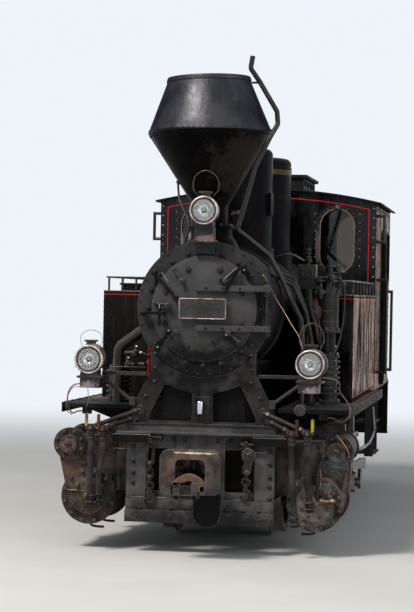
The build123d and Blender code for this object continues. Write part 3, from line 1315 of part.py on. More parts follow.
for index in range(AXLE_COUNT):
    save("wheelset_" + str(index + 1), wheelset(index))
for side, name in ((1, "right"), (-1, "left")):
    save("coupling_rod_" + name, coupling_rod(side))
    save("main_rod_" + name, main_rod(side))
    save("crosshead_" + name, crosshead(side))
    save("cylinder_" + name, cylinder(side))
    save("frame_" + name, frame_plate() if side > 0 else mirrored(frame_plate()))
    save("tank_" + name, side_tank() if side > 0 else mirrored(side_tank()))
    save("cab_" + name, cab_side() if side > 0 else mirrored(cab_side()))
save("valve_gear", valve_gear(1), valve_gear(-1))
save("slide_bars", slide_bars(), mirrored(slide_bars()))
boxes = [axlebox(y) for y in AXLE_YS]
keeps = horn_keeps()
save("axleboxes", boxes, [mirrored(box) for box in boxes], keeps, [mirrored(keep) for keep in keeps])
springs = [leaf_spring(y) for y in AXLE_YS]
save("leaf_springs", springs, [mirrored(spring) for spring in springs])
save("frame_stretchers", frame_stretchers())
save("front_beam", front_beam())
save("front_plate", front_plate())
save("rear_beam", rear_beam())
hook, hook_room = shackle()
front_coupler = coupler(FRAME_FRONT_Y - BEAM_T - COUPLER_PAD_T, -COUPLER_REACH_Y) + coupler_lug() - hook_room
rear_coupler = coupler(FRAME_REAR_Y + BEAM_T, COUPLER_REACH_Y)
save("couplers", front_coupler, rear_coupler, hook)
save("smokebox", smokebox(), hinge_post())
save("smokebox_door", smokebox_door())
save("saddle", saddle())
save("chimney", chimney())
save("chimney_pipe", chimney_pipe())
save("boiler", boiler())
save("sand_dome", dome(SAND_DOME_R, SAND_DOME_Y, DOME_TOP_Z, False))
save("steam_dome", dome(STEAM_DOME_R, STEAM_DOME_Y, DOME_TOP_Z, True))
save("firebox", firebox())
save("backhead", backhead())
save("tank_racks", tank_rack(), mirrored(tank_rack()))
save("running_boards", running_boards())
save("cab_front", cab_front())
save("cab_rear", cab_rear())
save("cab_roof", cab_roof())
save("cab_floor", cab_floor())
save("cab_glass", cab_glass())
save("window_frames", window_frames())
save("bunker", bunker())
save("steam_pipes", steam_pipes())
save("pumps", air_pump(), feed_pump(), air_reservoir())
lamp_list = [lamp(TOP_LAMP, TOP_LAMP[2] - LAMP_R - 14)]
lamp_list += [lamp(SIDE_LAMP, SIDE_LAMP[2] - LAMP_R - 14)]
lamp_list += [mirrored(lamp_list[-1])]
save("lamps", [a + b for a, b in zip(lamp_list, lamp_mounts())])
glasses = [lamp_glass(TOP_LAMP), lamp_glass(SIDE_LAMP)]
save("lamp_glass", glasses, mirrored(glasses[1]))
save("handrails", handrails())
save("steps", steps())
save("brake_gear", brake_gear())
save("coupling_chains", [coupling_chain(*row) for row in CHAINS])
save("hose_taps", hose_taps(), [hose_end(route) for route in HOSE_ROUTES])
for name, route in zip(HOSE_NAMES, HOSE_ROUTES):
    save(name, cord(route, HOSE_R, name))
cables = [cord(RIGHT_CABLE, CABLE_R, "lamp cable right"), cord(LEFT_CABLE, CABLE_R, "lamp cable left")]
save("lamp_cable", cables)
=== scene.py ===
from math import asin, cos, pi, radians, sin, tau

import bpy
from mathutils import Matrix, Vector


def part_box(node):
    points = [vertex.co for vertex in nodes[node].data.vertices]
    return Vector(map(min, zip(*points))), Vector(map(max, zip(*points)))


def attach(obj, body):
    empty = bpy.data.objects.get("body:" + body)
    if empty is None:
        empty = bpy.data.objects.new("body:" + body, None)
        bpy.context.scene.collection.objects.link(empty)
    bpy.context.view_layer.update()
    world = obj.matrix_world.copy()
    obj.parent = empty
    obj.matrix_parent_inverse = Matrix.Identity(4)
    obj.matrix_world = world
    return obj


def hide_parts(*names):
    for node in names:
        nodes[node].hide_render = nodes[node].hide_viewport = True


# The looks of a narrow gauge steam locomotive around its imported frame.
# Metres. X is across, -Y is the front, Z is up, zero height is the lowest point of the wheel flanges.
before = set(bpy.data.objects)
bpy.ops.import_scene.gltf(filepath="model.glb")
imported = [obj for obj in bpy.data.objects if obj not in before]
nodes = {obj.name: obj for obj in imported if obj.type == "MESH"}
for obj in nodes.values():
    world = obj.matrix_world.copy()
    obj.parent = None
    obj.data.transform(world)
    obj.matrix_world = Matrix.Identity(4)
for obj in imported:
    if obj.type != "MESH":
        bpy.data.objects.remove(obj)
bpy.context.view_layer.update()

CAMERA_PLACE = (2.236, -16.95, 1.815)
CAMERA_YAW = 9.035
CAMERA_PITCH = 0.286
CAMERA_ROLL = 1.1
CAMERA_LENS = 117.65
SUN = Vector((-0.35, -0.52, 0.78))
BACKGROUND = (0.86, 0.9, 0.95, 1)
SIDES = ((1, "right"), (-1, "left"))
AXLES = (-1.75, -0.85, 0.05, 0.95)
AXLE_Z = 0.375
BOILER_Z = 1.725
FRONT_Y = -3.0
BEAM_Y = -3.064
PLATE_Y = -3.014
LAMPS = ((0.78, -3.23, 1.355), (-0.78, -3.23, 1.355), (0.0, -3.12, 2.415))
LENS_R = 0.0815
CHIMNEY = Vector((0, -2.75, 2.292))
CHIMNEY_LEAN = radians(-2)
FRONT = Vector((0, -1, 0))
REAR = Vector((0, 1, 0))
UP = Vector((0, 0, 1))

# The axles and crank pins, and the walls and centres that small fittings stand on
AXLE_PITCH = 0.9
DRIVEN_AXLE = 2
PIN_SHIFT = 0.15 * cos(radians(45))
CYLINDER_X = 0.81
CYLINDER_REAR_Y = -2.48
VALVE_X = 0.957
VALVE_Z = 0.743
FRAME_WALL_X = 0.53
TANK_WALL_X = 0.96
TANK_FRONT_Y = -1.92
CAB_WALL_X = 0.95
CAB_FRONT_Y = 0.4
BUNKER_WALL_X = 0.86
BUNKER_REAR_Y = 2.86
REAR_BEAM_Y = 3.064

# Bolt heads: radius, height and count of sides
BEAM_BOLT = (0.0165, 0.013, 10)
PLATE_BOLT = (0.0155, 0.012, 10)

# The roof's arch, the domes and the cab's pressure gauge
ROOF_R = 4.35
ROOF_CENTRE_Z = -1.60
SAND_DOME_Y = -1.78
STEAM_DOME_Y = -0.7
GAUGE = Vector((0, 0.585, 2.11))


def aim(forward, roll):
    """The turn that points a camera or lamp along a direction, with its picture rolled by some degrees."""
    forward = Vector(forward).normalized()
    right = forward.cross(Vector((0, 0, 1))).normalized()
    up = right.cross(forward)
    turn = radians(roll)
    tilted_up = up * cos(turn) - right * sin(turn)
    tilted_right = right * cos(turn) + up * sin(turn)
    return Matrix((tilted_right, tilted_up, -forward)).transposed().to_4x4()


def make_camera():
    """The camera at the photograph's place and angle."""
    data = bpy.data.cameras.new("camera")
    data.lens = CAMERA_LENS
    data.clip_end = 200
    camera = bpy.data.objects.new("camera", data)
    bpy.context.collection.objects.link(camera)
    yaw = radians(CAMERA_YAW)
    pitch = radians(CAMERA_PITCH)
    forward = (-sin(yaw) * cos(pitch), cos(yaw) * cos(pitch), -sin(pitch))
    camera.matrix_world = Matrix.Translation(CAMERA_PLACE) @ aim(forward, CAMERA_ROLL)
    bpy.context.scene.camera = camera


def lamp_light(name, direction, distance, size, power, tint):
    """A soft rectangular light that shines at the locomotive's front half from a direction."""
    data = bpy.data.lights.new(name, "AREA")
    data.size = size
    data.energy = power
    data.color = tint
    light = bpy.data.objects.new(name, data)
    bpy.context.collection.objects.link(light)
    direction = Vector(direction).normalized()
    place = Vector((0, -2.0, 1.4)) + direction * distance
    light.matrix_world = Matrix.Translation(place) @ aim(-direction, 0)


def make_world():
    """A pale background for what the camera, metal and glass see, and weaker light for matt surfaces."""
    world = bpy.data.worlds.new("world")
    bpy.context.scene.world = world
    world.use_nodes = True
    tree = world.node_tree
    tree.nodes.clear()
    out = tree.nodes.new("ShaderNodeOutputWorld")
    path = tree.nodes.new("ShaderNodeLightPath")
    soft = tree.nodes.new("ShaderNodeBackground")
    soft.inputs["Color"].default_value = (0.86, 0.93, 1.0, 1)
    soft.inputs["Strength"].default_value = 0.34
    pale = tree.nodes.new("ShaderNodeBackground")
    pale.inputs["Color"].default_value = BACKGROUND
    pale.inputs["Strength"].default_value = 1.0
    seen = tree.nodes.new("ShaderNodeMath")
    seen.operation = "MAXIMUM"
    more = tree.nodes.new("ShaderNodeMath")
    more.operation = "MAXIMUM"
    mix = tree.nodes.new("ShaderNodeMixShader")
    tree.links.new(path.outputs["Is Camera Ray"], seen.inputs[0])
    tree.links.new(path.outputs["Is Glossy Ray"], seen.inputs[1])
    tree.links.new(seen.outputs[0], more.inputs[0])
    tree.links.new(path.outputs["Is Transmission Ray"], more.inputs[1])
    tree.links.new(more.outputs[0], mix.inputs[0])
    tree.links.new(soft.outputs[0], mix.inputs[1])
    tree.links.new(pale.outputs[0], mix.inputs[2])
    tree.links.new(mix.outputs[0], out.inputs[0])


class Shade:
    """One procedural material: a shader, object coordinates and short calls for the nodes in between."""

    def __init__(self, name, rough=0.5, metallic=0.0, specular=0.5):
        self.material = bpy.data.materials.new(name)
        self.material.use_nodes = True
        self.tree = self.material.node_tree
        self.tree.nodes.clear()
        out = self.tree.nodes.new("ShaderNodeOutputMaterial")
        self.shader = self.tree.nodes.new("ShaderNodeBsdfPrincipled")
        self.shader.inputs["Roughness"].default_value = rough
        self.shader.inputs["Metallic"].default_value = metallic
        self.shader.inputs["Specular IOR Level"].default_value = specular
        self.tree.links.new(self.shader.outputs[0], out.inputs[0])
        coordinates = self.tree.nodes.new("ShaderNodeTexCoord")
        self.place = coordinates.outputs["Object"]
        self.facing = coordinates.outputs["Normal"]

    def fill(self, socket, value):
        """Links a socket to an output, or sets its number or colour."""
        if isinstance(value, bpy.types.NodeSocket):
            self.tree.links.new(value, socket)
        elif isinstance(value, (tuple, list)):
            socket.default_value = tuple(value) + ((1,) if len(socket.default_value) > len(value) else ())
        else:
            socket.default_value = value

    def math(self, kind, a, b=0.0, clamp=False):
        """One step of arithmetic."""
        node = self.tree.nodes.new("ShaderNodeMath")
        node.operation = kind
        node.use_clamp = clamp
        self.fill(node.inputs[0], a)
        self.fill(node.inputs[1], b)
        return node.outputs[0]

    def times(self, a, b):
        """The product of two values."""
        return self.math("MULTIPLY", a, b)

    def split(self, vector):
        """The three parts of a vector."""
        node = self.tree.nodes.new("ShaderNodeSeparateXYZ")
        self.fill(node.inputs[0], vector)
        return node.outputs

    def noise(self, scale, detail=4.0, rough=0.55, stretch=(1, 1, 1), shift=(0, 0, 0)):
        """Cloudy noise from 0 to 1, in waves a metre, and longer where stretch is small."""
        moved = self.tree.nodes.new("ShaderNodeMapping")
        moved.inputs["Scale"].default_value = stretch
        moved.inputs["Location"].default_value = shift
        self.fill(moved.inputs["Vector"], self.place)
        node = self.tree.nodes.new("ShaderNodeTexNoise")
        node.inputs["Scale"].default_value = scale
        node.inputs["Detail"].default_value = detail
        node.inputs["Roughness"].default_value = rough
        self.fill(node.inputs["Vector"], moved.outputs[0])
        return node.outputs["Fac"]

    def span(self, value, low, high, start=0.0, end=1.0):
        """A smooth step of a value between two levels."""
        node = self.tree.nodes.new("ShaderNodeMapRange")
        node.interpolation_type = "SMOOTHSTEP"
        self.fill(node.inputs["Value"], value)
        node.inputs["From Min"].default_value = low
        node.inputs["From Max"].default_value = high
        node.inputs["To Min"].default_value = start
        node.inputs["To Max"].default_value = end
        return node.outputs[0]

    def mix(self, amount, a, b):
        """One colour over another."""
        node = self.tree.nodes.new("ShaderNodeMix")
        node.data_type = "RGBA"
        self.fill(node.inputs[0], amount)
        self.fill(node.inputs[6], a)
        self.fill(node.inputs[7], b)
        return node.outputs[2]

    def near(self, centre, radius, soft=0.6, squeeze=(1, 1, 1)):
        """A round spot with a ragged edge: 1 at a point of the locomotive, 0 at a radius from it."""
        node = self.tree.nodes.new("ShaderNodeVectorMath")
        node.operation = "SUBTRACT"
        self.fill(node.inputs[0], self.place)
        node.inputs[1].default_value = centre
        flat = self.tree.nodes.new("ShaderNodeVectorMath")
        flat.operation = "MULTIPLY"
        self.fill(flat.inputs[0], node.outputs[0])
        flat.inputs[1].default_value = squeeze
        length = self.tree.nodes.new("ShaderNodeVectorMath")
        length.operation = "LENGTH"
        self.fill(length.inputs[0], flat.outputs[0])
        ragged = self.times(self.span(self.noise(3.5 / radius, 5), 0.2, 0.8, -1, 1), 0.45 * radius)
        return self.span(self.math("ADD", length.outputs["Value"], ragged), radius, radius * (1 - soft))

    def edges(self, width=0.005):
        """1 along sharp edges, 0 on flat ground, and the normal of an edge rounded to that width."""
        rounded = self.tree.nodes.new("ShaderNodeBevel")
        rounded.samples = 3
        rounded.inputs["Radius"].default_value = width
        real = self.tree.nodes.new("ShaderNodeNewGeometry")
        dot = self.tree.nodes.new("ShaderNodeVectorMath")
        dot.operation = "DOT_PRODUCT"
        self.fill(dot.inputs[0], rounded.outputs[0])
        self.fill(dot.inputs[1], real.outputs["Normal"])
        return self.span(dot.outputs["Value"], 0.995, 0.90), rounded.outputs[0]

    def relief(self, height, strength, depth=0.004, under=None):
        """A bump from a height, over an earlier normal."""
        node = self.tree.nodes.new("ShaderNodeBump")
        node.inputs["Strength"].default_value = strength
        node.inputs["Distance"].default_value = depth
        self.fill(node.inputs["Height"], height)
        if under is not None:
            self.fill(node.inputs["Normal"], under)
        return node.outputs[0]

    def finish(self, colour, rough=None, normal=None, metallic=None):
        """Joins what was made to the shader and returns the material."""
        self.fill(self.shader.inputs["Base Color"], colour)
        if rough is not None:
            self.fill(self.shader.inputs["Roughness"], rough)
        if normal is not None:
            self.fill(self.shader.inputs["Normal"], normal)
        if metallic is not None:
            self.fill(self.shader.inputs["Metallic"], metallic)
        return self.material


DUST = (0.17, 0.135, 0.105)
RUST = (0.13, 0.05, 0.02)
# Near black for painted shade: below a height, on faces turned down and on faces turned to the front.
PAINTED_SHADE = (0.006, 0.006, 0.006)


def worn(
    name,
    base,
    second,
    rough=0.5,
    metallic=0.0,
    specular=0.08,
    dust=0.35,
    streak=0.25,
    rust=0.3,
    wear=0.4,
    wear_colour=(0.09, 0.085, 0.08),
    streak_colour=(0.07, 0.06, 0.052),
    waves=0.0,
    spots=(),
    grain=0.25,
    under=0.6,
    reflection_tint=None,
    side=0.0,
    patch=2.3,
    bands=0.0,
    low=0.0,
):
    """Worn paint or metal: two tones, streaks that run down, settled dust, rust specks and rubbed edges;
    spots, among them stains, painted shade and painted highlights; painted shade below a height, on faces
    turned down and on faces turned to the front; and a tint of the reflections as a painted reflection.
    """
    s = Shade(name, rough, metallic, specular)
    # A colour for the reflections, used as a painted reflection.
    if reflection_tint:
        s.shader.inputs["Specular Tint"].default_value = (*reflection_tint, 1)
    clouds = s.noise(patch, 6, 0.62)
    fine = s.noise(38, 6, 0.7)
    colour = s.mix(s.span(clouds, 0.38, 0.66), base, second)
    colour = s.mix(s.times(s.span(s.noise(9, 5, 0.6), 0.45, 0.75), 0.5), colour, second)
    runs = s.noise(1.0, 6, 0.6, (26, 26, 1.6))
    wash = s.times(s.span(runs, 0.52, 0.74), s.span(s.noise(1.5, 3), 0.35, 0.65))
    colour = s.mix(s.times(wash, streak), colour, streak_colour)
    specks = s.span(s.times(s.noise(70, 7, 0.75), s.span(s.noise(5, 4), 0.3, 0.62, 0.82, 1.12)), 0.60, 0.68)
    colour = s.mix(s.times(specks, rust), colour, RUST)
    ahead, above = s.split(s.facing)[1:]
    up = s.span(above, 0.2, 0.9)
    settled = s.times(up, s.span(s.noise(11, 6, 0.7), 0.25, 0.7))
    film = s.times(s.span(s.noise(4.5, 7, 0.7, (1, 1, 1), (3, 1, 5)), 0.5, 0.78), 0.1)
    dusty = s.times(s.math("MAXIMUM", settled, film), dust)
    colour = s.mix(dusty, colour, DUST)
    for centre, radius, squeeze, amount, tint in spots:
        colour = s.mix(s.times(s.near(centre, radius, 0.7, squeeze), amount), colour, tint)
    # Painted shade: near black below the height low.
    if low:
        colour = s.mix(s.span(s.split(s.place)[2], low + 0.004, low - 0.004), colour, PAINTED_SHADE)
    # Painted shade: faces turned down are darkened towards near black.
    if under:
        colour = s.mix(s.times(s.span(above, -0.05, -0.6), under), colour, PAINTED_SHADE)
    # Painted shade: faces turned to the front are darkened towards near black.
    if side:
        colour = s.mix(s.times(s.span(ahead, -0.85, -0.3), side), colour, PAINTED_SHADE)
    edge, rounded = s.edges()
    rubbed = s.times(s.times(edge, s.span(fine, 0.35, 0.6)), wear)
    colour = s.mix(rubbed, colour, wear_colour)
    gloss = s.math(
        "ADD", s.span(s.noise(6, 5), 0.3, 0.7, rough - 0.08, rough + 0.12), s.times(dusty, 0.3), True,
    )
    normal = s.relief(s.noise(120, 4, 0.6), grain * 0.3, 0.001, rounded)
    normal = s.relief(s.noise(14, 5, 0.6), grain, 0.004, normal)
    if waves:
        normal = s.relief(s.noise(1.0, 3, 0.45, (3.4, 3.4, 0.5)), waves, 0.03, normal)
    shine = s.times(s.math("SUBTRACT", 1.0, dusty, True), metallic) if metallic else None
    if bands:
        gaps = s.math(
            "MAXIMUM", s.span(s.noise(1.0, 4, 0.6, (3, 13, 1.0)), 0.45, 0.56),
            s.span(s.noise(1.0, 3, 0.5, (2, 5, 2.6)), 0.6, 0.75),
        )
        shine = s.times(shine, s.math("SUBTRACT", 1.0, s.times(gaps, bands), True))
    return s.finish(colour, gloss, normal, shine)


def make_chimney():
    """Near black below the chimney's widest edge as painted shade, with a brownish painted sheen on its
    right, and above it a bluish grey metal with a broad sheen, a painted reflection of the sky.
    """
    s = Shade("chimney_look", 0.42, 0.0, 0.05)
    # Painted reflection: a bluish tint of the reflections, for the sky.
    s.shader.inputs["Specular Tint"].default_value = (0.3, 0.31, 0.36, 1)
    height = s.split(s.place)[2]
    upper = s.span(height, 2.985, 3.0)
    clouds = s.span(s.noise(3.4, 6, 0.62), 0.36, 0.66)
    # Painted reflection: the bluish grey metal above the widest edge stands in for the sky's reflection.
    sky_sheen = s.mix(clouds, (0.03, 0.031, 0.037), (0.056, 0.055, 0.06))
    sky_sheen = s.mix(
        s.times(s.span(s.noise(1.0, 6, 0.6, (24, 24, 1.8)), 0.5, 0.72), 0.4), sky_sheen,
        (0.018, 0.0175, 0.02),
    )
    # Painted shade: near black below the widest edge, where the cone faces down.
    lower_cone_shade_and_sheen = s.mix(clouds, (0.002, 0.002, 0.002), (0.005, 0.0044, 0.0042))
    # Painted sheen: a brownish patch on the right of the lower cone.
    lower_cone_shade_and_sheen = s.mix(s.times(s.near((0.24, -2.95, 2.75), 0.3), 0.8), lower_cone_shade_and_sheen, (0.026, 0.02, 0.017))
    colour = s.mix(upper, lower_cone_shade_and_sheen, sky_sheen)
    specks = s.span(s.times(s.noise(60, 7, 0.75), s.span(s.noise(6, 4), 0.3, 0.62, 0.8, 1.12)), 0.59, 0.67)
    colour = s.mix(s.times(specks, 0.2), colour, (0.06, 0.035, 0.025))
    edge, rounded = s.edges()
    fine = s.span(s.noise(38, 6, 0.7), 0.35, 0.6)
    colour = s.mix(s.times(s.times(edge, fine), 0.4), colour, (0.1, 0.095, 0.09))
    gloss = s.span(s.noise(7, 6), 0.3, 0.7, 0.36, 0.56)
    normal = s.relief(s.noise(60, 4, 0.6), 0.12, 0.001, rounded)
    normal = s.relief(s.noise(22, 5, 0.6), 0.6, 0.005, normal)
    normal = s.relief(s.noise(3.0, 2, 0.4, (1, 1, 0.45)), 0.3, 0.03, normal)
    return s.finish(colour, gloss, normal, s.times(upper, 0.95))


def make_glass(name, tint, rough):
    """Clear glass with faint dirt."""
    s = Shade(name, rough, 0.0, 0.5)
    s.shader.inputs["Transmission Weight"].default_value = 1.0
    s.shader.inputs["IOR"].default_value = 1.45
    dirt = s.span(s.noise(8, 6, 0.65), 0.5, 0.8)
    return s.finish(
        s.mix(s.times(dirt, 0.5), tint, (0.35, 0.3, 0.25)), s.span(dirt, 0, 1, rough, rough + 0.25),
    )


def make_rubber():
    """Weathered hose rubber with a fine wrapped weave."""
    s = Shade("hose_rubber_look", 0.62, 0.0, 0.15)
    colour = s.mix(s.span(s.noise(9, 6, 0.6), 0.35, 0.7), (0.012, 0.0108, 0.0108), (0.06, 0.05, 0.045))
    colour = s.mix(s.times(s.span(s.noise(60, 6, 0.7), 0.58, 0.7), 0.5), colour, (0.11, 0.09, 0.078))
    wave = s.tree.nodes.new("ShaderNodeTexWave")
    wave.bands_direction = "Z"
    wave.inputs["Scale"].default_value = 55
    wave.inputs["Distortion"].default_value = 0.6
    s.fill(wave.inputs["Vector"], s.place)
    normal = s.relief(wave.outputs["Fac"], 0.35, 0.002)
    normal = s.relief(s.noise(150, 4), 0.2, 0.001, normal)
    return s.finish(colour, s.span(s.noise(20, 4), 0.3, 0.7, 0.5, 0.78), normal)


def make_wood(name, light, dark, dust):
    """Planks with grain along the locomotive."""
    s = Shade(name, 0.75, 0.0, 0.2)
    grain = s.noise(1.0, 8, 0.65, (55, 2.2, 55))
    colour = s.mix(s.span(grain, 0.36, 0.66), dark, light)
    colour = s.mix(s.times(s.span(s.noise(3.5, 6, 0.65), 0.42, 0.7), 0.6), colour, (0.055, 0.045, 0.04))
    up = s.span(s.split(s.facing)[2], 0.3, 0.9)
    across, ahead = s.split(s.place)[:2]
    trodden = s.times(s.span(s.math("ABSOLUTE", across), 0.88, 1.0), s.span(ahead, -2.4, -1.7))
    dusty = s.times(
        s.times(up, s.span(s.noise(8, 6), 0.3, 0.65)), s.span(trodden, 0, 1, 0.25 * dust, 1.4 * dust),
    )
    colour = s.mix(dusty, colour, (0.3, 0.22, 0.16))
    colour = s.mix(s.span(s.split(s.place)[1], -2.0, -2.45), colour, (0.005, 0.0048, 0.005))
    edge, rounded = s.edges(0.004)
    colour = s.mix(
        s.times(s.times(edge, 0.5), s.span(s.split(s.place)[1], -2.9, -2.2)), colour, (0.4, 0.34, 0.29),
    )
    normal = s.relief(grain, 0.5, 0.002, rounded)
    return s.finish(colour, s.span(s.noise(12, 4), 0.3, 0.7, 0.6, 0.9), normal)


def make_wheel():
    """Wheel paint thick with oil and brake dust, and a bright worn tread on each tyre."""
    s = Shade("wheel_look", 0.55, 0.0, 0.3)
    x, y, z = s.split(s.place)
    phase = s.math("FLOORED_MODULO", s.math("ADD", y, AXLE_PITCH / 2 - AXLES[0]), AXLE_PITCH)
    along = s.math("SUBTRACT", phase, AXLE_PITCH / 2)
    height = s.math("SUBTRACT", z, AXLE_Z)
    radius = s.math("SQRT", s.math("ADD", s.times(along, along), s.times(height, height)))
    across = s.math("ABSOLUTE", x)
    worn_tread = s.times(s.span(radius, 0.344, 0.349), s.span(across, 0.462, 0.457))
    worn_tread = s.times(worn_tread, s.span(across, 0.345, 0.352))
    colour = s.mix(s.span(s.noise(5, 6), 0.35, 0.7), (0.02, 0.019, 0.018), (0.05, 0.042, 0.036))
    colour = s.mix(s.times(s.span(s.noise(40, 7, 0.7), 0.55, 0.7), 0.5), colour, RUST)
    edge, rounded = s.edges()
    colour = s.mix(s.times(edge, 0.4), colour, (0.12, 0.1, 0.085))
    steel = s.mix(s.span(s.noise(30, 5), 0.4, 0.7), (0.42, 0.4, 0.38), (0.3, 0.26, 0.22))
    colour = s.mix(worn_tread, colour, steel)
    normal = s.relief(s.noise(30, 5), 0.3, 0.002, rounded)
    return s.finish(colour, s.span(worn_tread, 0, 1, 0.6, 0.3), normal, worn_tread)


# Lighter and darker spots on the lamps: centre, radius, squeeze, amount and colour. The first two are
# lilac, low on the lower lamps; under the top lamp the near-black ones are painted shade and the pinkish
# one is a painted highlight on its bracket's lower edge.
LAMP_SPOTS = [((x, -3.218, 1.168), 0.075, (0.9, 1, 1.8), 0.85, (0.27, 0.225, 0.26)) for x in (-0.79, 0.79)]
LAMP_SPOTS += [
    # Painted shade under the top lamp, a painted highlight on its bracket's lower edge, and painted shade
    # just below the lamp.
    ((0.02, -3.12, 2.14), 0.14, (0.7, 0.3, 1), 1.0, (0.004, 0.0042, 0.0055)),
    ((0.02, -3.12, 2.216), 0.075, (0.6, 0.3, 2.4), 0.85, (0.2, 0.14, 0.125)),
    ((0.0, -3.12, 2.3), 0.1, (0.7, 0.3, 1.4), 0.9, (0.006, 0.007, 0.01)),
]
SHELL_SPOTS = [((x, -3.18, 1.47), 0.075, (0.7, 1, 1), 0.9, (0.3, 0.24, 0.27)) for x in (-0.771, 0.771)]
